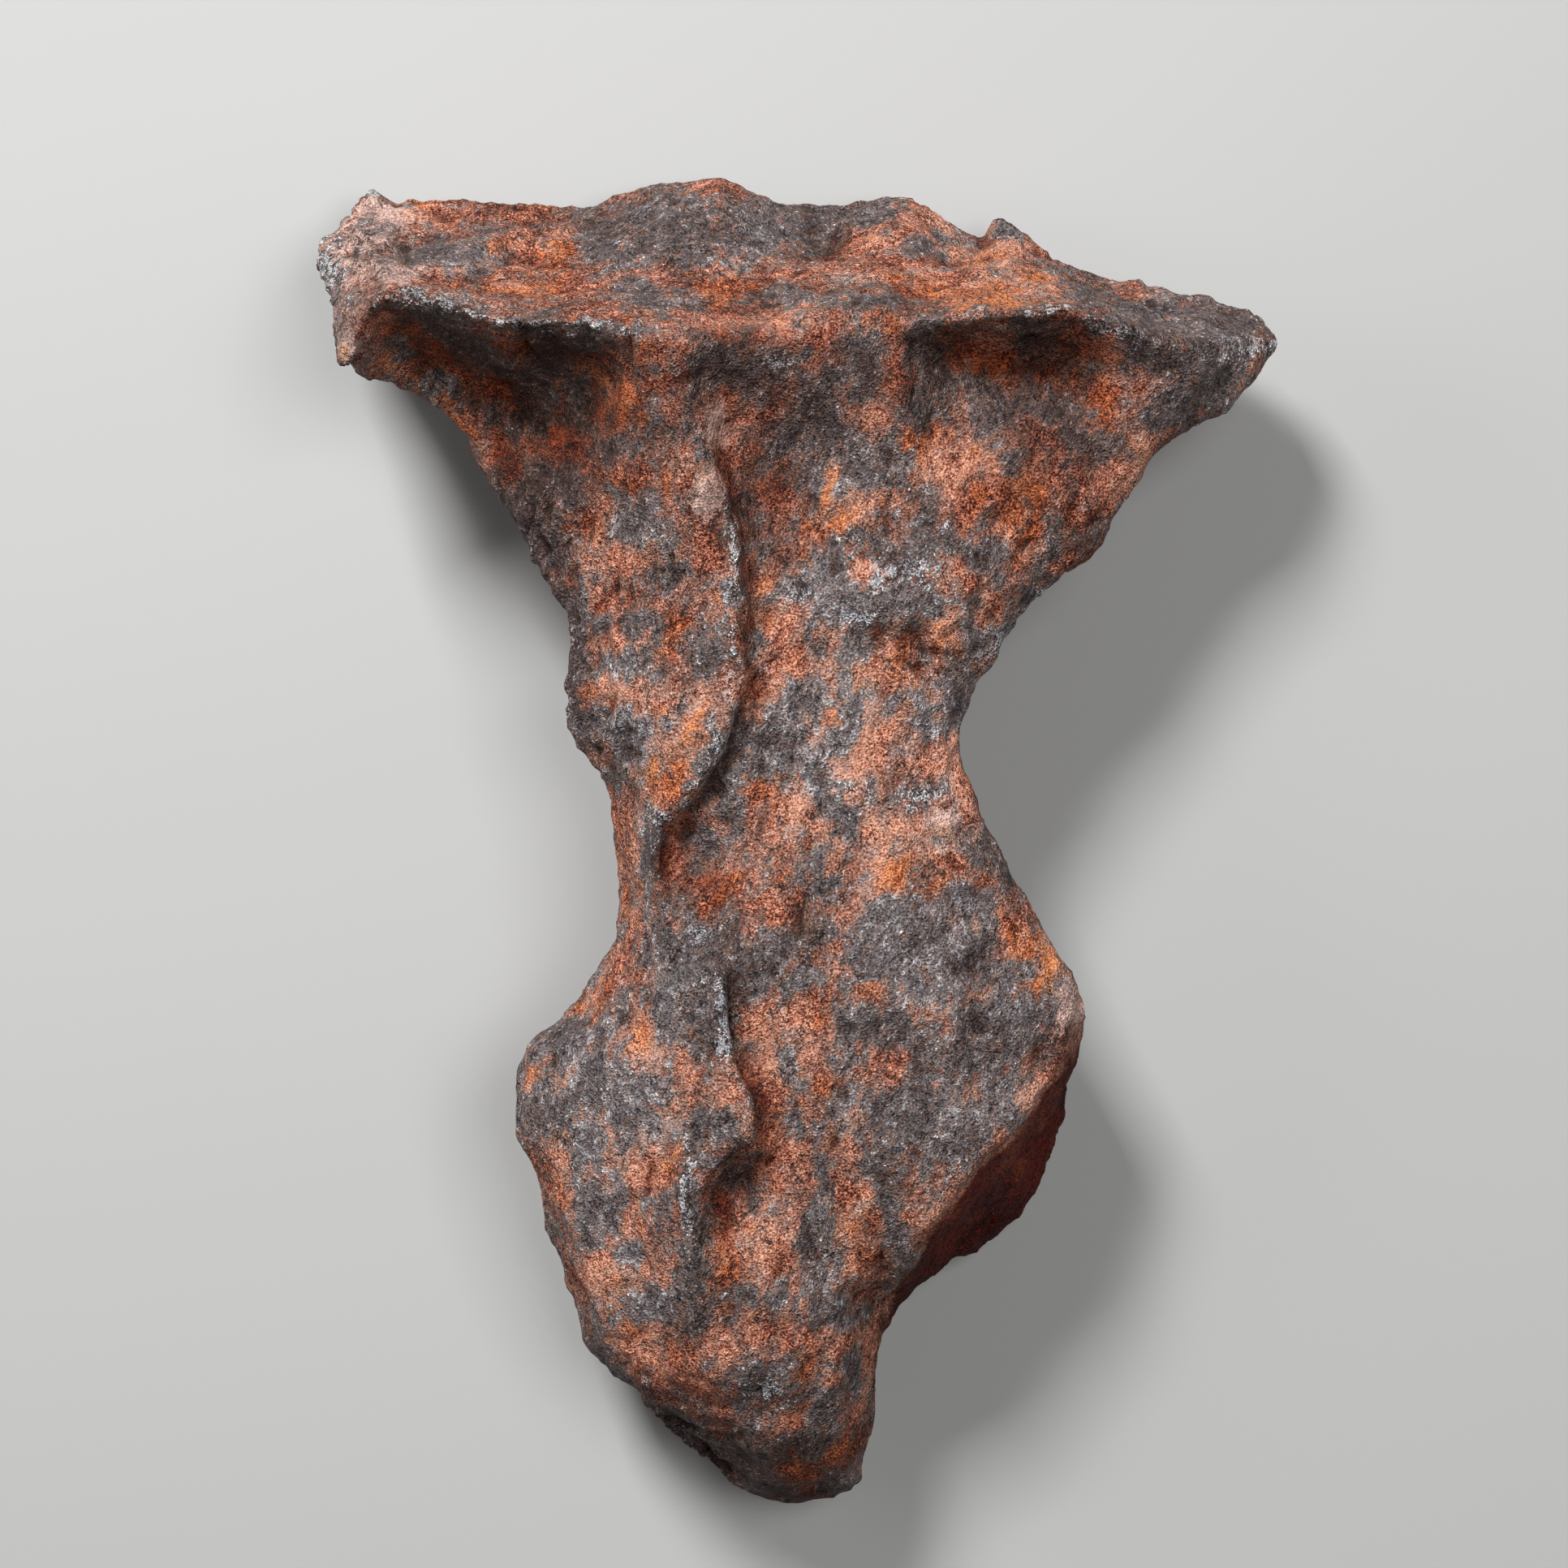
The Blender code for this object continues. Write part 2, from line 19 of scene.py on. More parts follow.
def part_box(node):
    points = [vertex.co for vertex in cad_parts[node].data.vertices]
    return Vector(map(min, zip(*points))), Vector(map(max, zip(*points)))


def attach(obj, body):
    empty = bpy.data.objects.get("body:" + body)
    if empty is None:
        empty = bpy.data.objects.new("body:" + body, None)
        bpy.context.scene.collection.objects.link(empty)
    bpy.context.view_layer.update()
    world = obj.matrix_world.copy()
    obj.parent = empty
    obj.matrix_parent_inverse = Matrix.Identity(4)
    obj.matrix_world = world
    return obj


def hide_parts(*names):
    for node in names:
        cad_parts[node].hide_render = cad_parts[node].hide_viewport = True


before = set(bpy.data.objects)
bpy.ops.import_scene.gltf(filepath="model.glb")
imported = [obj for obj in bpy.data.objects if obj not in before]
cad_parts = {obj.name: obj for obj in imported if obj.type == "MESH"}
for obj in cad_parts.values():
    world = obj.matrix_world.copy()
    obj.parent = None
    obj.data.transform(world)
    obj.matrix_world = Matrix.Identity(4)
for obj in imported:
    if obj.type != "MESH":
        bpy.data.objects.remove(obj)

LOG = logging.getLogger("meteorite")
MM = 0.001
GRAIN = "grain"

Colour = tuple[float, float, float]
Spot = tuple[float, ...]
Socket = bpy.types.NodeSocket


def srgb(red: int, green: int, blue: int) -> Colour:
    """A screen colour, each share from 0 to 255, in linear light."""
    shares = (red / 255, green / 255, blue / 255)
    return tuple(c / 12.92 if c <= 0.04045 else ((c + 0.055) / 1.055) ** 2.4 for c in shares)


class Mark(Enum):
    """What a spot on the lump shows, and the name of the point attribute that carries it."""

    BALANCE = "balance"
    # tone: random rust tone, plus painted light on drawn pale spots and painted shade on the head's top
    TONE_AND_LIGHT = "tone"
    TORN = "torn"
    OCHRE = "ochre"
    # silver: bare metal, partly a painted highlight along the rims, crest edges and swell
    SILVER_AND_HIGHLIGHT = "silver"
    WEAR = "wear"
    # deep: painted shade, in hollows, on drawn shaded spots and on the foot's steep side
    PAINTED_SHADE = "deep"
    # blush: a pale pink crust, partly painted light on the lit left end and crest sides
    BLUSH_AND_LIGHT = "blush"


@dataclass
class Sketch:
    """The plane in which the lump's front is drawn, in millimetres from the lump's middle.

    It is what an eye straight above sees at a level plane through the lump.
    """

    axis: tuple[float, float] = (-2.0, 7.3)
    level: float = 30.0
    reach: float = 560.0
    middle: tuple[float, float] = (-0.349, -0.186)
    scale: float = 0.98188

    def of(self, points: np.ndarray) -> np.ndarray:
        """Where points of the lump are seen in the sketch.

        Args:
            points: Points in metres, one per row.

        Returns:
            Their across and along values in millimetres, one pair per row.
        """
        drawn = points / (MM * self.scale)
        flat = drawn[:, :2] + np.array(self.middle) - np.array(self.axis)
        share = 1.0 - (drawn[:, 2:3] - self.level) / self.reach
        return flat / share + np.array(self.axis)

    def eye(self) -> Vector:
        """Where the sketch is seen from.

        Returns:
            The eye's place in metres.
        """
        across = (self.axis[0] - self.middle[0]) * self.scale * MM
        along = (self.axis[1] - self.middle[1]) * self.scale * MM
        return Vector((across, along, (self.level + self.reach) * self.scale * MM))


@dataclass
class Skin:
    """A mesh's points, normals and neighbours as arrays, with the moves that shape it."""

    mesh: bpy.types.Mesh
    points: np.ndarray = field(init=False)
    normals: np.ndarray = field(init=False)
    links: np.ndarray = field(init=False)
    counts: np.ndarray = field(init=False)

    def __post_init__(self) -> None:
        """Reads the mesh."""
        self.points = self.read("co")
        self.normals = self.read("normal")
        ends = np.empty(len(self.mesh.edges) * 2, np.int32)
        self.mesh.edges.foreach_get("vertices", ends)
        pairs = ends.reshape(-1, 2)
        self.links = np.vstack([pairs, pairs[:, ::-1]])
        self.counts = np.bincount(self.links[:, 0], minlength=len(self.points)).clip(1)

    def read(self, name: str) -> np.ndarray:
        """A vector value of every point.

        Args:
            name: The value's name, such as co or normal.

        Returns:
            One row per point.
        """
        values = np.empty(len(self.mesh.vertices) * 3, np.float32)
        self.mesh.vertices.foreach_get(name, values)
        return values.reshape(-1, 3).astype(float)

    def write(self) -> None:
        """Moves the mesh's points and reads the new normals."""
        self.mesh.vertices.foreach_set("co", self.points.astype(np.float32).ravel())
        self.mesh.update()
        self.normals = self.read("normal")

    def around(self, values: np.ndarray) -> np.ndarray:
        """The mean of each point's neighbours.

        Args:
            values: One value or row per point.

        Returns:
            The means, in the same shape.
        """
        flat = values.reshape(len(values), -1)
        near, far = self.links[:, 0], self.links[:, 1]
        sums = [
            np.bincount(near, weights=flat[far, i], minlength=len(flat)) for i in range(flat.shape[1])
        ]
        return (np.stack(sums, 1) / self.counts[:, None]).reshape(values.shape)

    def blurred(self, values: np.ndarray, rounds: int) -> np.ndarray:
        """Values spread over the neighbours.

        Args:
            values: One value or row per point.
            rounds: How many times they spread.

        Returns:
            The spread values.
        """
        for _ in range(rounds):
            values = 0.5 * values + 0.5 * self.around(values)
        return values

    def soften(self, rounds: int) -> None:
        """Smooths away small facets and keeps the volume.

        Args:
            rounds: How many times each point moves in and out.
        """
        for _ in range(rounds):
            self.points += 0.50 * (self.around(self.points) - self.points)
            self.points -= 0.47 * (self.around(self.points) - self.points)
        self.write()

    def raised(self, heights: np.ndarray) -> None:
        """Moves each point out along its normal by its height in metres."""
        self.points += heights[:, None] * self.normals
        self.write()

    def bulge(self, rounds: int) -> np.ndarray:
        """How far in metres each point stands out of the skin that many rounds wide around it."""
        mean = self.blurred(self.points, rounds)
        return ((self.points - mean) * self.normals).sum(1)

    def mark(self, name: Mark, values: np.ndarray) -> None:
        """Stores one value per point under a mark's name, for the finish to read."""
        layer = self.mesh.attributes.new(name.value, "FLOAT", "POINT")
        layer.data.foreach_set("value", values.astype(np.float32))

    def mark_places(self, name: str, places: np.ndarray) -> None:
        """Stores one place per point under a name, for the finish to read."""
        layer = self.mesh.attributes.new(name, "FLOAT_VECTOR", "POINT")
        layer.data.foreach_set("vector", places.astype(np.float32).ravel())


def ripple(points: np.ndarray, size: float) -> np.ndarray:
    """Smooth random swells of a width in millimetres, from about -1 to 1 per point."""
    return np.array([noise.noise(place) for place in (points / (MM * size)).tolist()])


def creased(points: np.ndarray, size: float) -> np.ndarray:
    """Random flakes of a width in millimetres: 0 in the sharp creases between them, 1 on a flake."""
    near = (noise.voronoi(place)[0] for place in (points / (MM * size)).tolist())
    return np.array([min(1.0, (found[1] - found[0]) * 2.0) for found in near])


def ridged(points: np.ndarray, size: float, octaves: int) -> np.ndarray:
    """Random swells with sharp ridges, each carrying finer ones.

    Args:
        points: Points in metres, one per row.
        size: The width of the broadest swell in millimetres.
        octaves: How many sizes of swell there are.

    Returns:
        A value from about -1 to 1 per point, highest on the ridges.
    """
    places = (points / (MM * size)).tolist()
    found = np.array([noise.ridged_multi_fractal(place, 0.9, 2.1, octaves, 1.0, 1.6) for place in places])
    return np.clip(found - 1.0, -1.0, 1.0)


def leaned(points: np.ndarray, turn: float) -> np.ndarray:
    """Points turned about the upright axis, so that stretched swells lean.

    Args:
        points: Points in metres, one per row.
        turn: The turn in degrees.

    Returns:
        The turned points.
    """
    c, s = math.cos(math.radians(turn)), math.sin(math.radians(turn))
    x, y, z = points.T
    return np.stack([c * x + s * y, c * y - s * x, z], 1)


def eased(values: np.ndarray, low: float, high: float) -> np.ndarray:
    """Values brought from 0 at low to 1 at high with a soft start and end."""
    share = np.clip((values - low) / (high - low), 0, 1)
    return share * share * (3 - 2 * share)


@dataclass(frozen=True)
class Patches:
    """Spots drawn in the sketch: across, along, half width, half height, and a turn in degrees if any."""

    spots: tuple[Spot, ...]
    strength: float = 1.0
    falloff: float = 0.75

    def over(self, seen: np.ndarray) -> np.ndarray:
        """How strongly the spots show.

        Args:
            seen: Where the points are seen in the sketch.

        Returns:
            A value from 0 to the strength per point.
        """
        total = np.zeros(len(seen))
        for across, along, wide, high, *turn in self.spots:
            lean = math.radians(turn[0]) if turn else 0.0
            c, s = math.cos(lean), math.sin(lean)
            x, y = seen[:, 0] - across, seen[:, 1] - along
            u, v = (c * x + s * y) / wide, (c * y - s * x) / high
            total = np.maximum(total, np.exp(-self.falloff * (u * u + v * v)))
        return total * self.strength


SLATE_SPOTS = Patches((
    # the head's slanting top
    (-53, 77.6, 2.4, 1.6), (-45, 77.8, 4.5, 2, -8), (-27, 80.5, 3, 4, 10), (-17, 83, 6, 4),
    (-13, 80, 9, 3), (-6, 82, 4, 4), (2, 82, 5, 3.5), (9, 83.4, 4, 1.8, 15), (-21, 72.3, 5, 1.8, -8),
    (-2, 72.4, 2.4, 1.6), (9, 72, 5, 1.3), (17.5, 78.8, 3, 1.3), (38, 73.3, 5, 1.7, -25),
    (28, 81.8, 2, 1.4), (48, 70.5, 7, 2.4, -12), (58, 69, 4, 2, -10),
    # the hollow under the left rim
    (-49, 69.7, 3, 1.8, -35), (-44, 65.7, 5, 1.8, -38), (-38, 61.8, 3, 1.6, -35), (-34, 66.8, 3, 2.4),
    (-29, 66.6, 3.4, 1.8), (-33, 63, 3.6, 1.6, -15), (-53, 65, 2.4, 1.6, -30), (-47, 59.8, 4, 1.6, -35),
    (-36.5, 56, 3, 3.4, 20), (-29, 58, 2.4, 4.5, 32), (-25.5, 52, 2, 3.4, 25), (-33, 47.5, 4, 2, -30),
    # the middle of the head
    (-8, 62.6, 7, 2.8, -6), (-13, 62, 3, 2), (1.5, 58, 2.6, 5, -10), (-2.5, 53.5, 2.6, 1.8),
    (4, 55, 3, 3), (8, 64, 2.6, 5), (2.5, 47.5, 1.8, 4, -25), (7, 51, 2.4, 3, 20), (17, 64, 2.4, 4),
    (15, 57.5, 2, 2.4), (12.5, 52, 2.6, 3.4), (20, 60.5, 4, 2), (24.5, 57.5, 3, 2.4), (32, 57.5, 3, 2),
    (28, 51.5, 3, 1.4, 10), (37, 53, 2.2, 2, -20), (41.5, 52, 1.6, 1.4), (46, 64, 2, 4.5, 30),
    (31, 67, 1.4, 3, 10), (52, 64, 4, 2, 20), (49, 58, 4, 2, 35), (55, 61, 3, 1.6, 35),
    # the flank left of the crest
    (-22.5, 42.7, 3.4, 2.6), (-36.5, 42, 2.4, 4, 30), (-33, 38.2, 2.8, 3, 30), (-17.3, 35.5, 1.6, 3, 10),
    (-29.5, 29, 2, 4), (-13.2, 24, 2, 3.6, 5), (-18.5, 27, 1.2, 3, 20), (-24.5, 23, 2.6, 2),
    (-23.5, 13.5, 3.6, 2.6, -20), (-25.5, 8.2, 2.2, 1.5), (-28, 16, 2.6, 2), (-30.4, 22, 1, 5),
    (-20, -1, 1.2, 4, -5), (-22.5, 29.5, 1.4, 2),
    # the channel and the swell right of the crest
    (4.5, 34, 3.4, 3.6), (10, 31.5, 5, 2.2, 5), (17, 31.5, 4.5, 2.4, 10), (13.5, 37, 2, 2.4, 20),
    (17.5, 39, 2.6, 2.4), (16, 42, 2, 1.6), (26, 37.5, 2.4, 2), (34, 41, 1.6, 1.6),
    (33.5, 38, 1.4, 1.6, 30), (30.5, 32.5, 3, 2, 35), (28, 27.5, 2.4, 1.6, 50), (23.5, 26, 1.6, 1.6),
    (8, 25.5, 2.2, 2.8, -30), (-5, 26.5, 1, 1.6), (1, 19, 3.4, 2.4, -10), (6, 17.5, 1.2, 3, -15),
    (12.2, 17.8, 1.5, 1.4), (-3.5, 12.5, 3.4, 3.6, 25), (5.5, 13.3, 2.4, 1.1, 30), (2, 9.5, 1.6, 3, -25),
    (17, 14.5, 3, 1.6), (21.5, 17.5, 1.6, 2.6, -10), (4.5, 3.5, 1.4, 4, 25), (-8.5, 13, 1, 2.4),
    (-9.5, 6.3, 3, 2.4, -15), (-12, -1, 1.6, 2.2), (-8.5, 0.5, 1.4, 1.2), (25, -1.8, 1.6, 2.4, 40),
    (27.5, -5.5, 1, 2, 30), (2, -3, 1, 1.6), (4, -6.6, 1.6, 1.4), (3, -12, 1.1, 1.5), (-2, -14, 2, 2),
    # the foot
    (-16, -14.5, 3.2, 2.8), (-13, -17.5, 4, 3.4), (-7, -17, 5, 2.4, -8), (0, -18.5, 3, 1.6, -10),
    (12, -10.5, 3.4, 2.2), (11, -16, 4, 3), (18, -12, 4, 4), (22, -15, 3.6, 4.4), (22.5, -7.5, 1.6, 2),
    (18, -19.5, 4, 1.6), (28, -19, 2.8, 1.5, 10), (28, -24.5, 6, 2.6, 15), (22, -28, 4, 3),
    (7, -25.3, 3.2, 1.9, -35), (12.8, -25.4, 2, 2.4), (-18, -22, 4, 3), (-13, -25, 2.4, 5, 8),
    (-31, -27, 4, 2.4, 20), (-27, -33, 4, 4, 30), (-33, -37, 3, 2.4), (-22, -35, 4, 3, 30),
    (-28, -41, 3, 2, 30), (-11.5, -38, 2, 2), (-27.5, -50, 2.6, 4, -35), (-29, -53, 1.6, 1.4),
    (-18.6, -49, 1.6, 2.2, -20), (-23, -55.5, 1.6, 1.6), (-13.6, -51, 1.3, 5.4), (-14, -60, 1.4, 4),
    (-0.8, -33, 0.9, 5.6), (5.4, -36, 2, 4), (8.5, -42, 1.6, 4, 28), (11.5, -48, 1.4, 5, 25),
    (3.5, -45.5, 1, 3.4, 32), (13.5, -53, 1.6, 5, 18), (16, -37, 5, 4, -20), (20.5, -41, 4, 3, 35),
    (28, -37.2, 2.8, 1.6, -45), (17, -31, 2, 3), (26, -33, 3, 2), (2.2, -52.5, 2.2, 2.6, 10),
    (3, -57.5, 2.4, 3), (-7, -62, 4, 1.4), (5, -63.5, 3, 2), (-20, -62, 2.6, 2.4), (-26, -64.5, 2, 1.6),
    (-26.5, -70, 2.6, 1.8, -40), (-1.2, -69, 1.5, 1, 10), (-4.5, -73, 3.8, 2.2), (3, -76.5, 1.8, 3.6),
    (7.5, -72, 1.2, 4), (1.5, -81, 3, 1.8), (-8, -83, 4, 2.6, -20), (-15, -79.5, 7, 1.6, -38),
    (-6, -87.5, 5, 1.6), (5, -86, 3, 1.6, 15), (-7.5, -45.5, 1.8, 1.8),
))
RUST_SPOTS = Patches((
    # the head's slanting top
    (-48, 83.5, 8, 1.8), (-38, 84, 5, 1.6), (-37, 78.6, 2.6, 3), (-32, 78.8, 2.2, 3.6, 10),
    (-51, 74.8, 6, 1.5, -6), (-39, 74.3, 4, 1.6, -14), (-30, 73.5, 5, 1.8, -8),
    (-22.5, 87.2, 3, 1.1, 15), (-11, 87.8, 5, 1.4), (-10, 74.6, 8, 1.7), (0.5, 75, 5, 1),
    (-24, 70.2, 6, 1, -3), (-12, 69.3, 6, 1.6, -2), (-3, 69.4, 4, 2.4), (8, 79.3, 5, 1.6, 15),
    (14, 81.8, 4, 1.2, 10), (17.5, 84, 4, 1.4, -20), (3, 76.2, 2, 1, -20), (13, 76.8, 6, 1.4),
    (24, 77.6, 6, 1.2, 5), (22, 73.8, 8, 1.8), (33, 74.6, 5, 1.4, -20), (45, 73.2, 3, 1, -20),
    (26, 71.6, 5, 0.8), (11, 69, 3, 2.4), (4, 68, 3, 2),
    # the hollow under the left rim
    (-56, 68.3, 2, 1, -20), (-51, 66.8, 4, 1.1, -34), (-46, 63.4, 4, 1.1, -32),
    (-40.5, 60.4, 4, 1.4, -34), (-40, 67.6, 4, 1.2, -28), (-37.6, 65.4, 2, 1.8, -20),
    (-53, 62.4, 3, 1, -15), (-45, 56.2, 4, 1.4, -40), (-39.5, 53, 3.4, 2.2, -45), (-32, 52.5, 4, 2),
    (-24, 58, 2.8, 2.6), (-27, 62.6, 3.4, 1.2, -10), (-18, 65, 3.6, 1.8), (-18.5, 61.3, 3, 1.2),
    (-24, 48.5, 5, 1.8, -20),
    # the middle of the head
    (-10, 57, 3, 4), (-9, 50.5, 2.4, 3), (-16, 48, 3, 2.2), (2, 63.5, 1.3, 5, -32),
    (-2.5, 57, 1.4, 3, -30), (13, 62.5, 1.7, 4.4), (10, 57, 2.6, 3, -20), (17, 53, 3.6, 2.2),
    (25, 64.5, 4, 3), (31, 63, 3, 3), (40, 66, 4, 2.4, -8), (41, 58, 2, 3), (39, 61, 3, 2),
    (22, 50, 5, 2), (31, 53.5, 3, 2), (26, 46, 4, 3), (34, 48, 4, 2.6), (46, 53.5, 2.4, 3, 30),
    (42, 48.5, 3, 3.4, 30), (38, 44.6, 3, 2.6, 20), (30, 41.5, 3.4, 2.8), (21.5, 43, 2.4, 2),
    (4.4, 46.6, 1.1, 3.6, -22), (-1.5, 45.5, 2.8, 3), (9, 45.5, 3, 1.6), (3, 42, 4, 2),
    (20, 66.6, 2.4, 1.4), (47, 60.5, 2, 2),
    # the flank left of the crest
    (-27.5, 42, 2.4, 3.4, 10), (-23, 37.5, 4, 1.8, -5), (-13, 43.5, 2, 3, 20), (-11.5, 38.5, 2.6, 3.4),
    (-25, 32, 4.5, 1.6, -8), (-16.5, 31.5, 1.4, 2.6, 10), (-16.6, 25.6, 1.6, 3.4, 35), (-26, 19.5, 3, 2),
    (-26, 26, 2.6, 1.6), (-13, 18, 1.8, 3.4, -12), (-14.5, 12, 1.8, 4, -22), (-17.5, 6.5, 1.6, 4, -30),
    (-19.2, 9, 1, 3.6, -5), (-24.4, 3.5, 1.8, 3.4), (-24, -3, 1.4, 3.6), (-22.6, -12, 1.2, 6),
    (-25.5, -19.5, 1.6, 4, -30), (-20.8, 19, 1.6, 1.6), (-26, 11.5, 1.8, 1, -30),
    # the channel and the swell right of the crest
    (-5.5, 34, 1.8, 3), (-2.4, 29, 2.4, 3.6), (-7.4, 27.5, 1, 2.8), (-6, 21, 3, 3), (-2, 23.5, 3, 2),
    (9, 36, 2.4, 2), (22, 34, 2.4, 3), (26, 31, 2.2, 3.4), (29.5, 36.5, 2, 2), (36, 37, 2.4, 1.6, 35),
    (13, 25.5, 2.4, 2.4), (11, 21.5, 3, 1.8), (20, 27, 2, 2), (11.5, 14, 3.6, 1.8), (18, 11, 4, 1.8),
    (9, 10, 3, 1.8), (-4.5, 6.5, 2.4, 2), (-2, 2.5, 4, 3.4), (2.4, 14.5, 1, 3, -35), (18, 2.2, 6, 2),
    (23, 5, 2, 5, 20), (11, 1.8, 3, 2.2), (12.5, -3.4, 3.6, 3), (20, -3.4, 3.6, 2),
    (-15, 2.2, 2.8, 1.2, 10), (-16, -3, 1.6, 3), (-13, -6.2, 3.4, 1.8), (-8, -6, 2, 2), (-3, -9.4, 3, 2),
    (1, -6.5, 1, 2), (-6, -9, 2, 1.6), (29, -12, 2, 6, 28), (33.4, -17.5, 2.4, 2.6), (36, -23, 2, 3.6),
    (26.5, -8.5, 1.4, 3, 20),
    # the foot
    (-21.5, -24, 1.3, 5, -6), (-22, -28, 1.4, 1.4), (-14, -32, 3, 3), (-9.6, -34, 1.4, 3, 15),
    (-4.6, -24.6, 3, 2.6), (1, -24, 2.6, 2, -20), (-4.2, -32, 2, 4.6, 8), (2.8, -33, 2.2, 3.4),
    (12, -30.5, 2.6, 2.8), (10, -20, 2.2, 1.2), (6, -41, 1.6, 3.6, 20), (-2, -43, 2, 4, 25),
    (6.5, -47, 1.6, 4.4, 25), (-20, -44, 4.4, 2.4, 8), (-34, -43.6, 2.6, 2, -20), (-34.8, -31.6, 1.6, 2),
    (-32, -48, 1.6, 3, 20), (-22, -51, 2, 2.6), (-27.5, -58, 3.6, 3), (-20, -57.5, 3, 2.6),
    (-9.5, -53, 2, 5), (-9.5, -59.5, 3.4, 1.8), (-3, -56, 2.6, 2.4), (-4, -66, 6, 2), (8, -56, 2, 5.6),
    (-23, -66.8, 4, 2, -15), (-18, -70.5, 4.4, 3, -15), (-12, -74, 3, 2, -20), (6, -67.5, 2.4, 2),
    (9.4, -68, 1, 4), (3, -71.6, 2.6, 1.4), (-1, -77.5, 2, 2), (0, -85, 2.8, 1.8), (6, -82, 2, 2.4),
    (7.6, -77.5, 1.4, 3), (-9.6, -69, 1.6, 3), (27, -45, 7, 4, 45), (20, -53, 5, 3, 35),
    (34, -34, 3, 6, -20),
))
OCHRE_SPOTS = Patches((
    (-33, 77, 2.5, 4), (-8, 73, 7, 1.6), (15, 73, 5, 1.6), (25, 72, 6, 1.5), (33, 75.5, 3, 1.2),
    (40, 56, 2, 3), (16, 56, 3, 2), (20, 25, 2, 1.6), (14, -5, 4, 3), (-9, -6, 1.5, 1),
    (8.5, -20.5, 1.6, 2.4, 20), (4, 44, 4, 3, 40), (32, -16, 3, 7, -25), (30, 45, 3, 4),
    (-38, 55, 4, 2, -40), (-53, 65, 4, 3), (-46, 61.5, 3, 1.4, -30), (-15, 11, 3, 6, -25),
    (25, 16, 3, 1.6), (-30, -22, 3, 3), (24, -19.5, 1, 1.2), (23, -9.5, 1, 1), (-12, 81.5, 1.6, 1),
    (0, -12, 3, 1.5), (-46, 63, 10, 3.4, -33), (-37, 55, 7, 7, -35), (-30, 60, 6, 4), (-23, 57, 4, 5),
    (28, 63, 8, 2), (-4, -85, 9, 3), (-16, -78, 5, 2, -38),
))
# Bare metal, partly a painted highlight: spots along the rims, the crest edges and the swell where light
# glints; the finish makes them metal and lighter.
SILVER_AND_HIGHLIGHT_SPOTS = Patches((
    (-62.6, 78, 1.2, 4), (-57, 86, 1.6, 1.4), (-50, 72.4, 5, 1.4, -14), (-40, 69.4, 6, 0.7, -14),
    (-28, 68.6, 5, 0.6), (-16, 63.4, 2.2, 0.7, 10), (-3, 63.5, 2.6, 0.8, -10), (35, 70.8, 3.6, 0.7, -6),
    (43, 67.6, 4, 0.8, -25), (61, 65.6, 5, 0.9, 12), (7.5, 6.5, 3.4, 1.3, -20),
    (17.6, 6.2, 3.4, 1.4, 12), (-9.0, 20, 0.8, 3, 8), (-10.8, 13.5, 0.9, 3.4, 20), (-8.7, 35, 0.8, 3),
    (-8.4, 27.5, 0.6, 2), (10, 35, 3, 1.8), (15, 36, 3, 2), (8, 30, 3, 1), (7, 40.5, 1.2, 1),
    (-14.6, -44, 0.8, 3), (-15, -50, 0.7, 2.6), (-9.8, -24, 1.1, 4), (-31, 24.6, 0.9, 2),
    (-31, 17, 1, 1.2), (-4.5, -74, 2, 0.8, -25), (0, 33, 2, 1), (33, 33, 1.4, 0.8, 30),
    (27, 27, 1.4, 1, 50), (19, 42, 1, 1), (-19, 2.5, 0.8, 1.4), (-13.6, -13, 1.6, 1),
))
# Painted shade: spots where shadow falls, under the rims, right of the crests and under the nose's ledge;
# the finish darkens the colour there.
PAINTED_SHADE_SPOTS = Patches((
    (-48, 66, 12, 4, -26), (-33, 64.5, 9, 3.5, -8), (-38, 59, 12, 4.5, -38), (-27, 57, 5, 5),
    (-31, 54, 9, 8, -35), (-38, 50, 4, 6, 30), (22, 65.5, 8, 3), (36, 65.5, 9, 3, -8), (30, 63, 9, 2.4),
    (-8, 45, 1.6, 6, 15), (-10.5, 50, 1.6, 4, 15), (-17.4, -2, 1.2, 5), (-12, -5.5, 2.4, 2),
    (-7, -45, 3, 3), (-5, -35, 1.4, 6, 15), (-10, -50, 1.6, 4), (-20, -79, 8, 2, -38),
    (-11, -83.5, 5, 2, -30), (14, 27, 1, 1.6), (10.5, 27.5, 0.8, 1.4), (0, -88, 8, 1.6),
))
CRAG_SPOTS = Patches((
    (-34, 42, 5, 6, 20), (-30, 24, 4, 12), (-25, 13, 4, 6), (-17.5, 35, 3, 6, 5), (-60, 78, 3, 9),
    (-19, -79, 9, 3, -38), (16, 24, 4, 3), (31, 44, 5, 4, 30), (-36, 55, 5, 4, -35),
))
# Painted light: spots where the front is lit brightly; they lighten the rust's tone.
PAINTED_LIGHT_SPOTS = Patches((
    (14, 30, 16, 4), (6, 12, 12, 13), (-4, 33, 3, 8), (20, 14, 8, 8), (26, 76, 12, 5, -15),
    (-12, -2, 5, 5), (-22, -34, 9, 12), (18, -15, 9, 8), (-61, 77, 4, 9), (-24, 16, 6, 8),
    (20, -36, 8, 5),
))
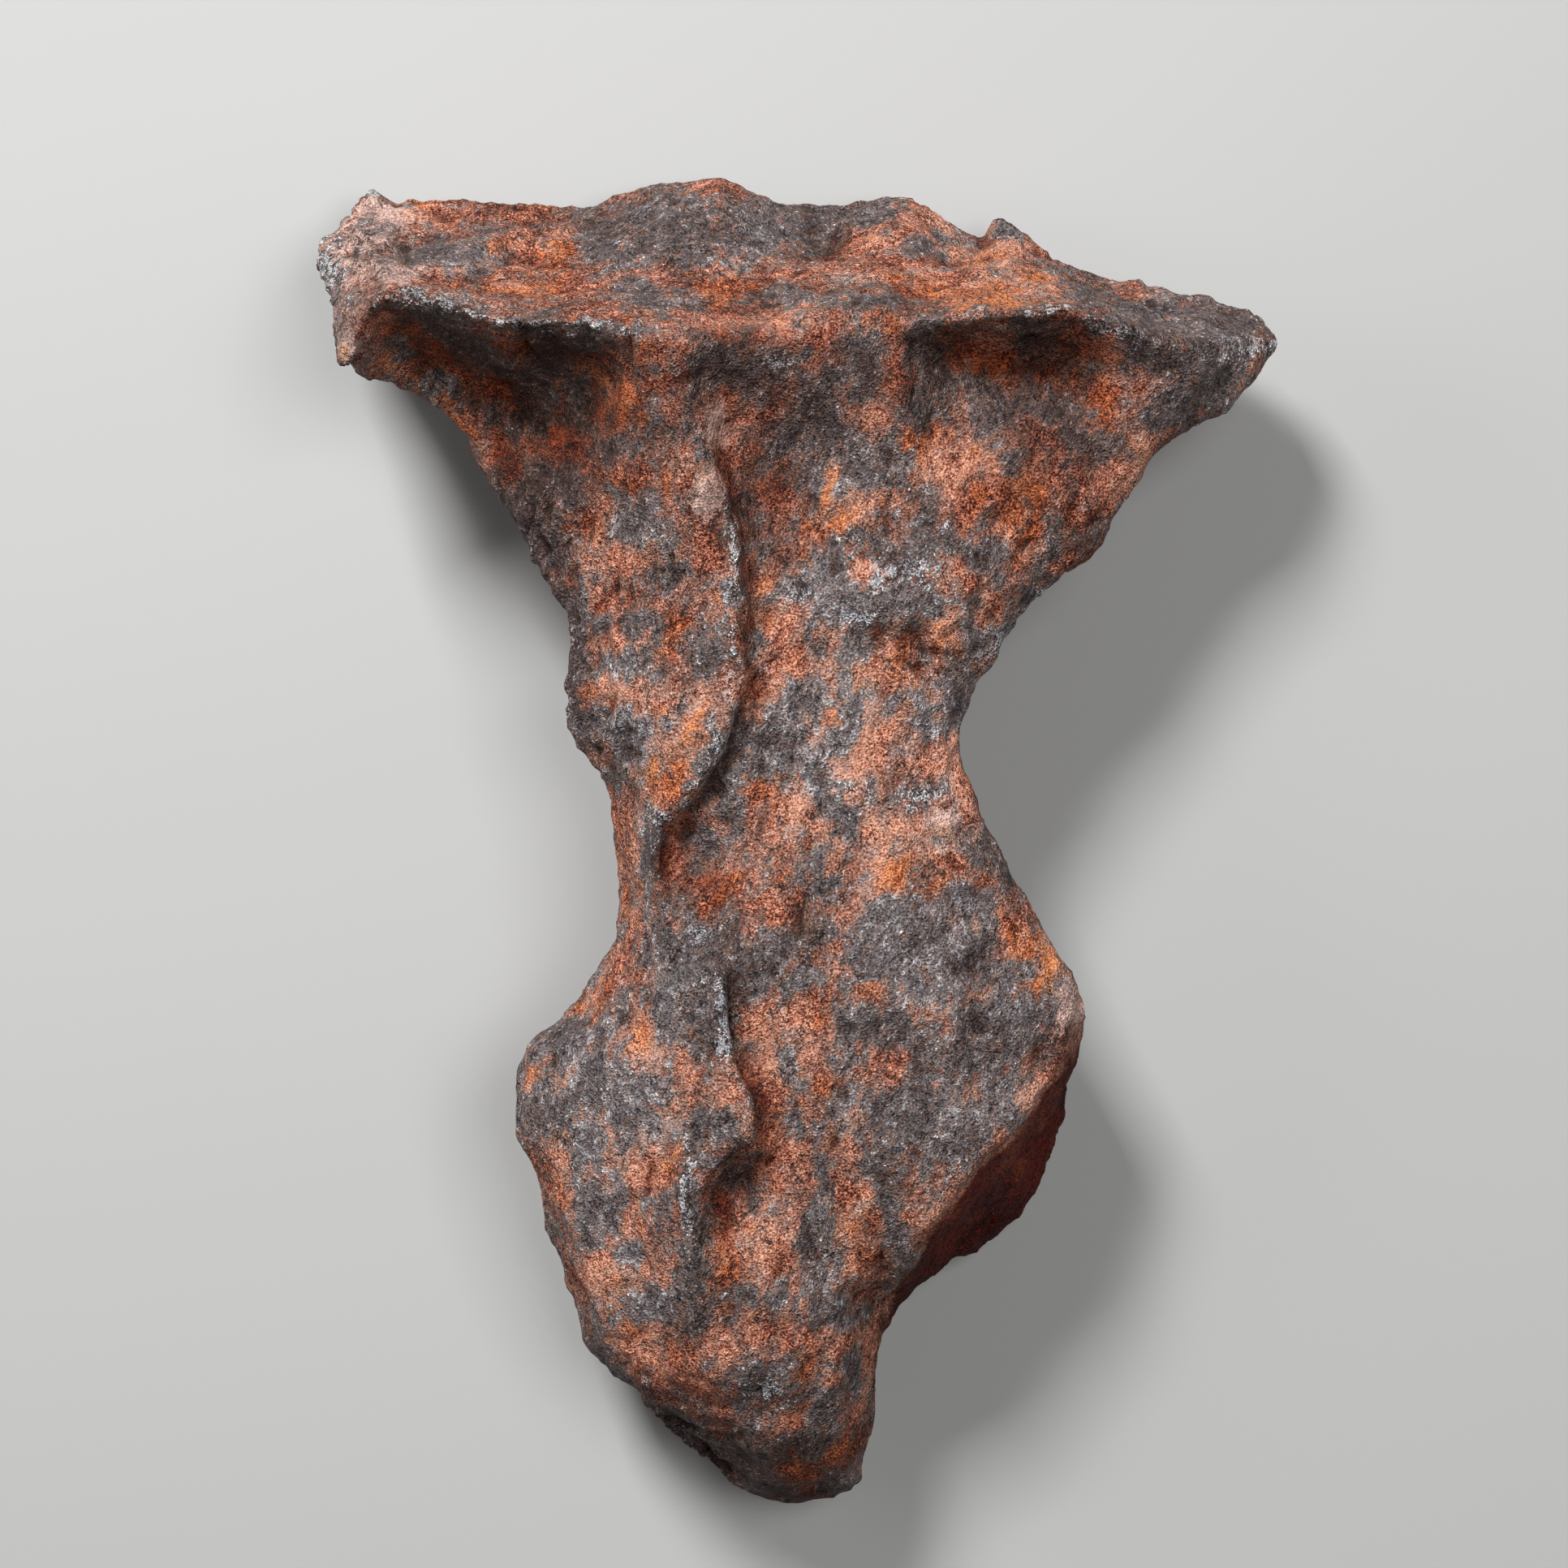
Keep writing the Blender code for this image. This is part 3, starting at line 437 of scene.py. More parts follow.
# Softer painted shade: spots where the flank, the wings and the head's middle lie in shade; the finish
# darkens the colour there.
SOFT_PAINTED_SHADE_SPOTS = Patches((
    (-10, 61, 17, 7), (-30, 54, 12, 9, -35), (30, 62, 18, 8), (33, 51, 10, 5, 20), (12, 60, 6, 6),
    (-2, -83, 15, 6), (-5, 47, 6, 8), (-14, -77, 8, 4, -38), (-6.8, 34, 1.3, 9, 2), (-14, -4, 3, 3),
    (-37, 45, 5, 9, 25), (-8, 67, 10, 2.4), (-32, 34, 3, 7, 10), (-29, 22, 2, 8),
), strength=0.70)
# A pale pink crust, partly painted light on the brightly lit left end and the crests' lit sides.
BLUSH_AND_LIGHT_SPOTS = Patches((
    (-61, 67, 2, 7), (-61, 77, 4, 8), (-56, 83, 4, 3), (-54, 76, 4, 2), (-11, 55, 2, 4),
    (-17, -20, 3, 3), (20, 1, 3, 3), (-12, 47, 2, 4), (36, -22, 3, 3), (-18, -39, 4, 2.4),
))


@dataclass(frozen=True)
class Line:
    """A line drawn in the sketch."""

    path: tuple[tuple[float, float], ...]

    def away(self, seen: np.ndarray) -> tuple[np.ndarray, np.ndarray]:
        """How far points are from the line, and on which side.

        Args:
            seen: Where the points are seen in the sketch.

        Returns:
            The distances in millimetres, and a side that is above 0 to the left of the line's way.
        """
        path = np.array(self.path)
        nearest = np.full(len(seen), 999.0)
        side = np.zeros(len(seen))
        for start, end in zip(path[:-1], path[1:]):
            along, offset = end - start, seen - start
            share = np.clip(offset @ along / (along @ along), 0, 1)
            away = np.linalg.norm(offset - share[:, None] * along, axis=1)
            closer = away < nearest
            nearest[closer] = away[closer]
            side[closer] = (along[0] * offset[:, 1] - along[1] * offset[:, 0])[closer]
        return nearest, side


@dataclass(frozen=True)
class Groove:
    """A groove or crack drawn in the sketch, with its half width and depth in millimetres."""

    half_width: float
    depth: float
    path: tuple[tuple[float, float], ...]

    def over(self, seen: np.ndarray, wander: np.ndarray) -> np.ndarray:
        """How deep in metres the groove is at each point, each distance changed by its wander."""
        away = Line(self.path).away(seen)[0]
        return self.depth * MM * (1 - ((away + wander).clip(0) / self.half_width) ** 2).clip(0)


# Where the broad front of the foot ends and its steep side, darkened with painted shade, begins.
FOOT_EDGE = Line(
    (
        (40, -24), (36.4, -28.2), (31.9, -34.8), (27.9, -39.8), (24.4, -43.5), (20.9, -48.1),
        (17.4, -52.1), (15.2, -56.1), (12.9, -60), (11, -64),
    )
)
# The sharp lines that stand out of the front.
RIDGES = (
    Groove(1.6, 1.0, ((-8.5, 25), (-8.2, 21.8), (-9.8, 17.4), (-11.3, 12), (-14.2, 7.3), (-17.6, 3.0))),
    Groove(1.2, 0.5, ((-9.3, 44), (-8.7, 36.6), (-8.9, 29.2), (-8.5, 25))),
    Groove(1.2, 0.3, ((-18.4, 2), (-19.4, -3), (-18.4, -9))),
    Groove(1.4, 0.4, ((-15.4, -40), (-15.2, -46), (-14.6, -54), (-14.2, -60))),
    Groove(1.4, 0.6, ((-10.8, -18), (-10.4, -24), (-9.6, -30), (-6.8, -35.2), (-6.8, -40))),
)
# The cracks, by half width and depth in millimetres.
CRACKS = (
    (0.5, 0.4, (
        ((-7.6, 7), (-8, 5.2)), ((24, 38), (24.6, 35.6), (24.4, 33)), ((31, 67), (31.8, 64.8)),
        ((34.6, 60.5), (35, 57.4)), ((16.2, -12.5), (16, -14.4)), ((20.2, -7.5), (20.9, -10)),
        ((-29.6, 25), (-28.6, 22.6)), ((-21, 13), (-21.6, 10.6)), ((8.6, -26), (9.2, -28.6)),
        ((17.4, -18.6), (16.8, -20.4)), ((-20, -33), (-22, -35.4)), ((-19.8, -44), (-20.6, -48)),
        ((0.8, -50), (1.2, -53.4)), ((-21, -53), (-20.4, -56)),
    )),
    (0.5, 0.5, (
        ((21.6, 38.8), (22.1, 36.8)), ((-19.6, 26.4), (-18.2, 23), (-18.4, 21.8)),
        ((-23.6, -3.6), (-23.2, -6)), ((4.6, -36), (5.2, -38.6), (4.5, -41.6)),
    )),
    (0.5, 0.6, (
        ((27.2, 44.5), (28.6, 47.4)), ((36.4, 44.2), (37.3, 46.2)), ((-18.3, 36.4), (-18.5, 33.6)),
    )),
    (0.5, 0.7, (
        ((-1.3, -7), (-0.9, -8.4), (0, -10), (0.5, -12.6)),
    )),
    (0.6, 0.5, (
        ((-22.5, 68), (-22.8, 64), (-21.8, 60.5)), ((-33, -30.6), (-32.4, -28.8)),
    )),
    (0.6, 0.6, (
        ((15, 66.5), (15.8, 62), (15.2, 57.5)),
    )),
    (0.6, 0.7, (
        ((-35.6, 44.5), (-36.2, 41.4), (-33.6, 38.6)), ((-31, 40), (-30.2, 37), (-30, 34.4)),
        ((-25.4, 20), (-25, 17.6), (-26, 16.4)),
    )),
    (0.6, 0.8, (
        ((15, 23.2), (15.3, 25.6)), ((18, 23.2), (18.3, 25.4)), ((-17.4, 37.5), (-16.6, 34.6)),
    )),
)
GROOVES = (
    # right of the upper crest's lower end
    Groove(1.9, 0.7, ((-5.4, 21), (-6.8, 16.5), (-8.6, 11.5), (-11.6, 6.4), (-15.2, 1.4))),
    # right of the foot's crest
    Groove(1.5, 0.8, ((-8.8, -19), (-8.4, -24), (-7.4, -29.6), (-4.8, -34.6), (-4.6, -40))),
    # under the flaky ledge of the nose
    Groove(0.9, 1.5, ((-26, -72.6), (-21.5, -76.2), (-17.5, -79), (-13, -81.6), (-9.6, -84.6))),
    Groove(0.6, 0.8, ((-17.5, -77.5), (-13, -79.4), (-8, -80))),
    # along the foot of the crests
    Groove(0.7, 0.4, ((-17.8, 1.5), (-18, -3), (-16.8, -8))),
    Groove(0.7, 0.4, ((-5.6, -34), (-4.6, -39), (-6, -42), (-9.6, -45), (-12, -49))),
    # the fold in the hollow under the left rim
    Groove(0.7, 0.8, ((-37, 69), (-36.6, 65.6), (-35, 64))),
    *(Groove(half_width, depth, path) for half_width, depth, paths in CRACKS for path in paths),
)


@dataclass(frozen=True)
class Survey:
    """What each point of the skin is part of, as one value or row per point.

    Seen is its place in the sketch, a little wandered. Front is 1 on the front, on_top on the head's
    slanting top and facet on the foot's steep side. Swells mottle the rust and the iron.
    """

    seen: np.ndarray
    front: np.ndarray
    on_top: np.ndarray
    facet: np.ndarray
    swells: np.ndarray


@dataclass
class Meteorite:
    """The lump: its fine skin, the marks on it, and where they come from.

    Where ripple is given shifted places, the shift only makes one set of swells unlike another.
    """

    node: str = "meteorite"
    body: str = "root"
    slot: str = "rusted_iron"
    grain: float = 0.72 * MM
    sketch: Sketch = field(default_factory=Sketch)
    swell_height: float = 0.42 * MM
    flake_height: float = 0.42 * MM
    grain_height: float = 0.20 * MM
    ragged_height: float = 0.75 * MM
    drawn_weight: float = 0.85
    swell_weight: float = 0.26
    back_weight: float = 0.80
    facet_rust: float = 0.35
    top_rust: float = 0.10
    painted_light_weight: float = 0.65
    crag_weight: float = 0.90
    wander: float = 1.5
    top_edge: tuple[float, float] = (68.0, 71.0)
    top_painted_shade: float = 0.20
    front_crust: float = 0.60
    facet_shade_weight: float = 1.25
    hollow_shade_weight: float = 0.80

    def build(self) -> bpy.types.Object:
        """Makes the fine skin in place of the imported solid.

        Returns:
            The skin's object.
        """
        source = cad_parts[self.node]
        low, high = (np.array(corner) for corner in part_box(self.node))
        piece = bpy.data.objects.new("rusted_lump", source.data.copy())
        piece.data.materials.clear()
        bpy.context.scene.collection.objects.link(piece)
        self.draw_fine(piece)
        skin = Skin(piece.data)
        skin.soften(4)
        LOG.info("skin of %d points, %d faces", len(skin.points), len(piece.data.polygons))
        grainwise = self.warped(skin.points, (0.85, 1.6, 1.0), 1.4 * MM)
        self.roughen(skin, grainwise)
        self.carve(skin)
        skin.points = np.clip(skin.points, low, high)
        skin.write()
        self.mark(skin, grainwise)
        piece.data.shade_smooth()
        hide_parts(self.node)
        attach(piece, self.body)
        return piece

    def draw_fine(self, piece: bpy.types.Object) -> None:
        """Gives the piece an even, fine skin.

        Args:
            piece: The object whose mesh is drawn anew.
        """
        modifier = piece.modifiers.new("fine skin", "REMESH")
        modifier.mode = "VOXEL"
        modifier.voxel_size = self.grain
        graph = bpy.context.evaluated_depsgraph_get()
        graph.update()
        mesh = bpy.data.meshes.new_from_object(piece.evaluated_get(graph))
        old = piece.data
        piece.modifiers.clear()
        piece.data = mesh
        bpy.data.meshes.remove(old)

    def warped(self, points: np.ndarray, stretch: Iterable[float], bend: float) -> np.ndarray:
        """Places along the iron's leaning, wavy grain.

        Args:
            points: Points in metres, one per row.
            stretch: How much the grain is drawn out along each axis.
            bend: How far it waves, in metres.

        Returns:
            The places in metres.
        """
        places = leaned(points, -14)
        waves = [ripple(places + shift * MM, 6.0) for shift in (11, 37, 71)]
        return (places + bend * np.stack(waves, 1)) / np.array(tuple(stretch), float)

    def roughen(self, skin: Skin, grainwise: np.ndarray) -> None:
        """Raises swells, flakes and grain, more on the sharp edges and not on the flats.

        Args:
            skin: The fine skin.
            grainwise: Each point's place along the grain.
        """
        edge = eased(skin.blurred(skin.bulge(14), 4), 0.10 * MM, 0.55 * MM)
        off_bench = eased(skin.points[:, 2], 0.05 * MM, 1.0 * MM)
        craggy = CRAG_SPOTS.over(self.sketch.of(skin.points)) * eased(skin.normals[:, 2], -0.4, 0.0)
        coarse = 0.40 + 0.50 * eased(ripple(skin.points, 22), -0.35, 0.35) + 0.7 * craggy
        chips = creased(skin.points, 2.4) - 0.5 + 0.9 * ripple(skin.points, 1.6) + ripple(skin.points, 4.5)
        height = (
            self.swell_height * (ripple(grainwise, 4.4) + 0.8 * ripple(skin.points, 2.4))
            + self.flake_height * ridged(grainwise, 3.4, 3) * coarse
            + self.grain_height * ripple(grainwise, 1.2)
            + self.ragged_height * chips * np.maximum(edge, 0.8 * craggy)
        )
        skin.raised(height * off_bench)

    def carve(self, skin: Skin) -> None:
        """Sinks the drawn grooves and cracks into the front and raises the drawn ridges.

        Args:
            skin: The fine skin.
        """
        seen = self.sketch.of(skin.points)
        wander = 0.45 * ripple(skin.points, 1.6) + 0.5 * ripple(skin.points, 5.0)
        depth = np.zeros(len(seen))
        for groove in GROOVES:
            depth = np.maximum(depth, groove.over(seen, wander))
        rise = np.zeros(len(seen))
        for ridge in RIDGES:
            rise = np.maximum(rise, ridge.over(seen, 0.9 * wander))
        skin.raised((rise - depth) * (skin.normals[:, 2] > 0.05))

    def mark(self, skin: Skin, grainwise: np.ndarray) -> None:
        """Stores where each colour and metal shows.

        Args:
            skin: The fine skin.
            grainwise: Each point's place along the grain.
        """
        found = self.survey(skin, grainwise)
        self.mark_iron(skin, grainwise, found)
        self.mark_rust(skin, grainwise, found)
        self.mark_painted_shade(skin, found)
        skin.mark_places(GRAIN, self.warped(skin.points, (0.9, 1.3, 0.9), 0.5 * MM) / MM)

    def survey(self, skin: Skin, grainwise: np.ndarray) -> Survey:
        """Finds what each point is part of.

        Args:
            skin: The fine skin.
            grainwise: Each point's place along the grain.

        Returns:
            What was found.
        """
        plain = self.sketch.of(skin.points)
        wander = [ripple(grainwise + shift * MM, 3.0) + 0.6 * ripple(skin.points, 1.5) for shift in (0, 9)]
        seen = plain + self.wander * np.stack(wander, 1)
        on_top = eased(plain[:, 1], *self.top_edge)
        swells = ripple(grainwise, 7) + 0.9 * ripple(grainwise + 30 * MM, 3.2)
        across = skin.points / np.array([2.2, 0.8, 0.8])
        streaks = 1.3 * ripple(across, 3.4) + 0.8 * ripple(across + 20 * MM, 1.8)
        away, side = FOOT_EDGE.away(seen)
        facet = eased(np.where(side > 0, away, -away), -0.3, 1.3)
        return Survey(
            seen=seen,
            front=eased(skin.normals[:, 2], -0.12, 0.12),
            on_top=on_top,
            facet=facet * eased(-seen[:, 1], 20.0, 26.0) * eased(seen[:, 0], 8.0, 13.0),
            swells=swells * (1 - on_top) + streaks * on_top,
        )

    def mark_iron(self, skin: Skin, grainwise: np.ndarray, found: Survey) -> None:
        """Stores where the slate iron shows, where it is torn and where it shines.

        Args:
            skin: The fine skin.
            grainwise: Each point's place along the grain.
            found: What each point is part of.
        """
        drawn = SLATE_SPOTS.over(found.seen) - RUST_SPOTS.over(found.seen)
        balance = found.front * (self.drawn_weight * drawn + self.swell_weight * found.swells)
        balance = balance + self.back_weight * (1 - found.front) * found.swells
        skin.mark(Mark.BALANCE, balance - self.facet_rust * found.facet - self.top_rust * found.on_top)
        craggy = CRAG_SPOTS.over(found.seen) * found.front
        torn = eased(ripple(grainwise + 41 * MM, 2.2) + 0.20 * found.on_top, 0.15, 0.32)
        skin.mark(Mark.TORN, np.maximum(torn, self.crag_weight * craggy))
        skin.mark(Mark.SILVER_AND_HIGHLIGHT, SILVER_AND_HIGHLIGHT_SPOTS.over(found.seen) * found.front)
        skin.mark(Mark.WEAR, eased(skin.blurred(skin.bulge(10), 1), 0.14 * MM, 0.50 * MM))

    def mark_rust(self, skin: Skin, grainwise: np.ndarray, found: Survey) -> None:
        """Stores the rust's tone, with painted light on drawn spots and painted shade on the head's top,
        its ochre crust, and its pale blush, which is partly painted light.

        Args:
            skin: The fine skin.
            grainwise: Each point's place along the grain.
            found: What each point is part of.
        """
        tone = ripple(skin.points, 9) + 0.7 * ripple(grainwise + 17 * MM, 3.6)
        # painted light on drawn spots, and painted shade on the head's slanting top
        pale = self.painted_light_weight * PAINTED_LIGHT_SPOTS.over(found.seen)
        skin.mark(Mark.TONE_AND_LIGHT, tone + found.front * (pale - self.top_painted_shade * found.on_top))
        crust = eased(ripple(skin.points + 50 * MM, 10), 0.25, 0.55)
        crust = np.maximum(crust, 0.9 * eased(ripple(grainwise + 66 * MM, 3.4), 0.10, 0.45))
        crust = crust * (self.front_crust * found.front + (1 - found.front))
        skin.mark(Mark.OCHRE, OCHRE_SPOTS.over(found.seen) * found.front + crust)
        skin.mark(Mark.BLUSH_AND_LIGHT, BLUSH_AND_LIGHT_SPOTS.over(found.seen) * found.front)

    def mark_painted_shade(self, skin: Skin, found: Survey) -> None:
        """Stores the painted shade: dark hollows, drawn shaded spots and the foot's steep side.

        Args:
            skin: The fine skin.
            found: What each point is part of.
        """
        # painted shade: darker where the skin is hollow, where shade falls
        hollow = eased(-skin.blurred(skin.bulge(12), 1), 0.03 * MM, 0.30 * MM)
        shaded = np.maximum(PAINTED_SHADE_SPOTS.over(found.seen), SOFT_PAINTED_SHADE_SPOTS.over(found.seen))
        # painted shade on the foot's steep side, which faces away from the lamps
        steep_side_shade = found.facet * (self.facet_shade_weight + 0.4 * found.swells.clip(-0.6, 0.6))
        shaded = np.maximum(shaded, steep_side_shade * eased(skin.points[:, 2], 0.0, 9 * MM))
        shaded = shaded * (found.front + found.facet).clip(0, 1)
        skin.mark(Mark.PAINTED_SHADE, np.maximum(shaded, self.hollow_shade_weight * hollow))


@dataclass(frozen=True)
class Swells:
    """Random swells in a finish: how many per unit of place, how many finer ones, and their strength."""

    scale: float
    detail: float
    roughness: float


@dataclass
class Wiring:
    """Adds nodes to one node tree and joins them."""

    tree: bpy.types.NodeTree

    def node(self, kind: str, **settings: object) -> bpy.types.Node:
        """Adds a node.

        Args:
            kind: The node's type name.
            **settings: Its properties.

        Returns:
            The node.
        """
        made = self.tree.nodes.new(kind)
        for name, value in settings.items():
            setattr(made, name, value)
        return made

    def join(self, value: object, socket: Socket) -> None:
        """Feeds a socket from another node's output, or sets it to a number or colour.

        Args:
            value: An output socket, a number, or a tuple.
            socket: The input socket.
        """
        if isinstance(value, Socket):
            self.tree.links.new(value, socket)
        elif socket.type == "RGBA" and len(value) == 3:
            socket.default_value = (*value, 1.0)
        else:
            socket.default_value = value

    def math(self, kind: str, *values: object, clamp: bool = False) -> Socket:
        """What an operation makes of one, two or three numbers.

        Args:
            kind: The operation.
            *values: Numbers or output sockets.
            clamp: Whether the result stays from 0 to 1.

        Returns:
            The result.
        """
        made = self.node("ShaderNodeMath", operation=kind, use_clamp=clamp)
        for value, socket in zip(values, made.inputs):
            self.join(value, socket)
        return made.outputs[0]

    def mix(self, share: object, first: object, second: object, kind: str = "MIX") -> Socket:
        """Two colours blended.

        Args:
            share: How much of the second shows.
            first: The colour beneath.
            second: The colour above.
            kind: The way they blend.

        Returns:
            The blended colour.
        """
        made = self.node("ShaderNodeMix", data_type="RGBA", blend_type=kind)
        self.join(share, made.inputs[0])
        self.join(first, made.inputs[6])
        self.join(second, made.inputs[7])
        return made.outputs[2]

    def ease(self, value: object, low: float, high: float) -> Socket:
        """A value brought from 0 at low to 1 at high with a soft start and end.

        Args:
            value: The value.
            low: Where the result leaves 0.
            high: Where it reaches 1.

        Returns:
            The eased value.
        """
        made = self.node("ShaderNodeMapRange", interpolation_type="SMOOTHSTEP")
        self.join(value, made.inputs["Value"])
        self.join(low, made.inputs["From Min"])
        self.join(high, made.inputs["From Max"])
        return made.outputs["Result"]

    def noise(self, place: object, swells: Swells) -> Socket:
        """Random swells over the surface.

        Args:
            place: Where the surface point is.
            swells: Which swells.

        Returns:
            A value about 0.5.
        """
        made = self.node("ShaderNodeTexNoise", noise_dimensions="3D")
        self.join(place, made.inputs["Vector"])
        self.join(swells.scale, made.inputs["Scale"])
        self.join(swells.detail, made.inputs["Detail"])
        self.join(swells.roughness, made.inputs["Roughness"])
        return made.outputs["Fac"]

    def scaled(self, value: object, share: float) -> Socket:
        """A value times a share."""
        return self.math("MULTIPLY", value, share)

    def mark(self, name: Mark) -> Socket:
        """The value that the mesh carries under a mark's name."""
        return self.node("ShaderNodeAttribute", attribute_name=name.value).outputs["Fac"]

    def sum(self, *terms: tuple[object, float]) -> Socket:
        """Values added up, each with its weight.

        Args:
            *terms: Each value and its weight.

        Returns:
            The sum.
        """
        total: object = 0.0
        for value, weight in terms:
            made = self.node("ShaderNodeMath", operation="MULTIPLY_ADD")
            for part, socket in zip((value, weight, total), made.inputs):
                self.join(part, socket)
            total = made.outputs[0]
        return total


class Kind(Enum):
    """What a group's socket carries."""

    VALUE = "NodeSocketFloat"
    COLOUR = "NodeSocketColor"
    PLACE = "NodeSocketVector"


@dataclass
class Group:
    """A shader node group with named sockets; an input without a start value carries a place."""

    name: str
    inputs: dict[str, float | None]
    outputs: dict[str, Kind]
    tree: bpy.types.NodeTree = field(init=False)
    wiring: Wiring = field(init=False)
    given: bpy.types.Node = field(init=False)
    put_out: bpy.types.Node = field(init=False)

    def __post_init__(self) -> None:
        """Makes the group with its sockets."""
        self.tree = bpy.data.node_groups.new(self.name, "ShaderNodeTree")
        for name, start in self.inputs.items():
            kind = Kind.PLACE if start is None else Kind.VALUE
            socket = self.tree.interface.new_socket(name=name, in_out="INPUT", socket_type=kind.value)
            if start is not None:
                socket.default_value = start
        for name, kind in self.outputs.items():
            self.tree.interface.new_socket(name=name, in_out="OUTPUT", socket_type=kind.value)
        self.wiring = Wiring(self.tree)
        self.given = self.wiring.node("NodeGroupInput")
        self.put_out = self.wiring.node("NodeGroupOutput")

    def weigh(self, start: float, **weights: float) -> Socket:
        """The named inputs added up, each with its weight, and a start value."""
        terms = [(self.given.outputs[name], weight) for name, weight in weights.items()]
        return self.wiring.sum(*terms, (1.0, start))

    def give(self, **values: Socket) -> None:
        """Feeds the group's named outputs."""
        for name, value in values.items():
            self.wiring.join(value, self.put_out.inputs[name])

    def place_in(self, wiring: Wiring, **values: Socket) -> bpy.types.Node:
        """Puts the group into a material.

        Args:
            wiring: The material's wiring.
            **values: What its inputs are fed with.

        Returns:
            The group's node.
        """
        made = wiring.node("ShaderNodeGroup", node_tree=self.tree)
        for name, value in values.items():
            wiring.join(value, made.inputs[name])
        return made


def surface_place() -> Group:
    """Surface places in millimetres, plain and along the iron's leaning grain.

    Returns:
        The group, with outputs Plain and Grain.
    """
    group = Group("surface place", {}, {"Plain": Kind.PLACE, "Grain": Kind.PLACE})
    w = group.wiring
    plain = w.node("ShaderNodeVectorMath", operation="SCALE")
    w.join(w.node("ShaderNodeTexCoord").outputs["Object"], plain.inputs[0])
    w.join(1 / MM, plain.inputs["Scale"])
    grain = w.node("ShaderNodeAttribute", attribute_name=GRAIN)
    group.give(Plain=plain.outputs[0], Grain=grain.outputs["Vector"])
    return group


@dataclass(frozen=True)
class Relief:
    """The finest relief: its swells, its plates, and its winding cracks with soft creases beside them."""

    flake: Swells = Swells(1.05, 2.6, 0.72)
    grit: Swells = Swells(3.4, 1.6, 0.75)
    patch: Swells = Swells(0.42, 2.3, 0.50)
    vein: Swells = Swells(0.52, 3.0, 0.60)
    plates: float = 1.5
    plate_bend: float = 1.6
    crack_edge: tuple[float, float] = (0.005, 0.022)
    crease_edge: tuple[float, float] = (0.0, 0.09)
    flake_height: float = 1.00
    grit_height: float = 0.66
    plate_height: float = 0.09
    crease_height: float = 0.06
    crack_depth: float = 0.40

    def make(self) -> Group:
        """Builds the group.

        Returns:
            The group, with outputs Flake, Grit, Patch, Plate, Crack and Height.
        """
        found = ("Flake", "Grit", "Patch", "Plate", "Crack", "Height")
        inputs = {"Plain": None, "Grain": None, "Torn": 0.5}
        group = Group("torn relief", inputs, dict.fromkeys(found, Kind.VALUE))
        w = group.wiring
        plain, grain = group.given.outputs["Plain"], group.given.outputs["Grain"]
        flake, patch = w.noise(grain, self.flake), w.noise(grain, self.patch)
        grit = w.noise(plain, self.grit)
        bent = w.node("ShaderNodeVectorMath", operation="ADD")
        w.join(grain, bent.inputs[0])
        w.join(w.scaled(flake, self.plate_bend), bent.inputs[1])
        cells = w.node("ShaderNodeTexVoronoi", feature="F1")
        w.join(bent.outputs[0], cells.inputs["Vector"])
        w.join(self.plates, cells.inputs["Scale"])
        shares = w.node("ShaderNodeSeparateColor")
        w.join(cells.outputs["Color"], shares.inputs[0])
        plate = shares.outputs["Red"]
        vein = w.math("ABSOLUTE", w.sum((w.noise(grain, self.vein), 1.0), (1.0, -0.5)))
        line = w.math("SUBTRACT", 1.0, w.ease(vein, *self.crack_edge))
        crack = w.math("MULTIPLY", line, group.given.outputs["Torn"])
        crease = w.ease(vein, *self.crease_edge)
        height = w.sum(
            (flake, self.flake_height),
            (grit, self.grit_height),
            (plate, self.plate_height),
            (crease, self.crease_height),
            (crack, -self.crack_depth),
        )
        group.give(Flake=flake, Grit=grit, Patch=patch, Plate=plate, Crack=crack, Height=height)
        return group


def ramp(w: Wiring, value: object, stops: Iterable[tuple[float, Colour]]) -> Socket:
    """Colours read off a row of stops.

    Args:
        w: The wiring of the tree.
        value: Where on the row to read.
        stops: The place and colour of each stop.

    Returns:
        The colour.
    """
    made = w.node("ShaderNodeValToRGB")
    row = made.color_ramp.elements
    while len(row) > 1:
        row.remove(row[-1])
    for i, (place, colour) in enumerate(stops):
        stop = row[0] if i == 0 else row.new(place)
        stop.position = place
        stop.color = (*colour, 1.0)
    w.join(value, made.inputs[0])
    return made.outputs[0]


@dataclass(frozen=True)
class RustTones:
    """The rust's colours, from the darkest crust to the freshest bloom."""

    crust: Colour = srgb(58, 28, 20)
    brown: Colour = srgb(120, 65, 47)
    rust: Colour = srgb(164, 97, 74)
    bloom: Colour = srgb(208, 149, 124)


@dataclass(frozen=True)
class IronTones:
    """The bare iron's colours, from the crack's black to the worn metal, and its brown stain."""

    black: Colour = srgb(44, 35, 33)
    slate: Colour = srgb(88, 83, 85)
    ash: Colour = srgb(128, 121, 121)
    glint: Colour = srgb(206, 207, 210)
    stain: Colour = srgb(108, 80, 64)


@dataclass(frozen=True)
class CrustTones:
    """The thin crusts' colours, the dark cores' dimming colour, and the painted shade of the hollows and
    steep side.
    """

    umber: Colour = srgb(120, 93, 80)
    orange: Colour = srgb(255, 214, 140)
    # partly painted light on the lit left end and crest sides
    blush: Colour = srgb(208, 178, 168)
    core: Colour = srgb(172, 178, 186)
    # painted shade colour for hollows and shaded spots; the next one reddens the painted shade on the steep
    # side
    deep: Colour = srgb(137, 76, 20)
    steep_shade_tint: Colour = srgb(192, 124, 140)


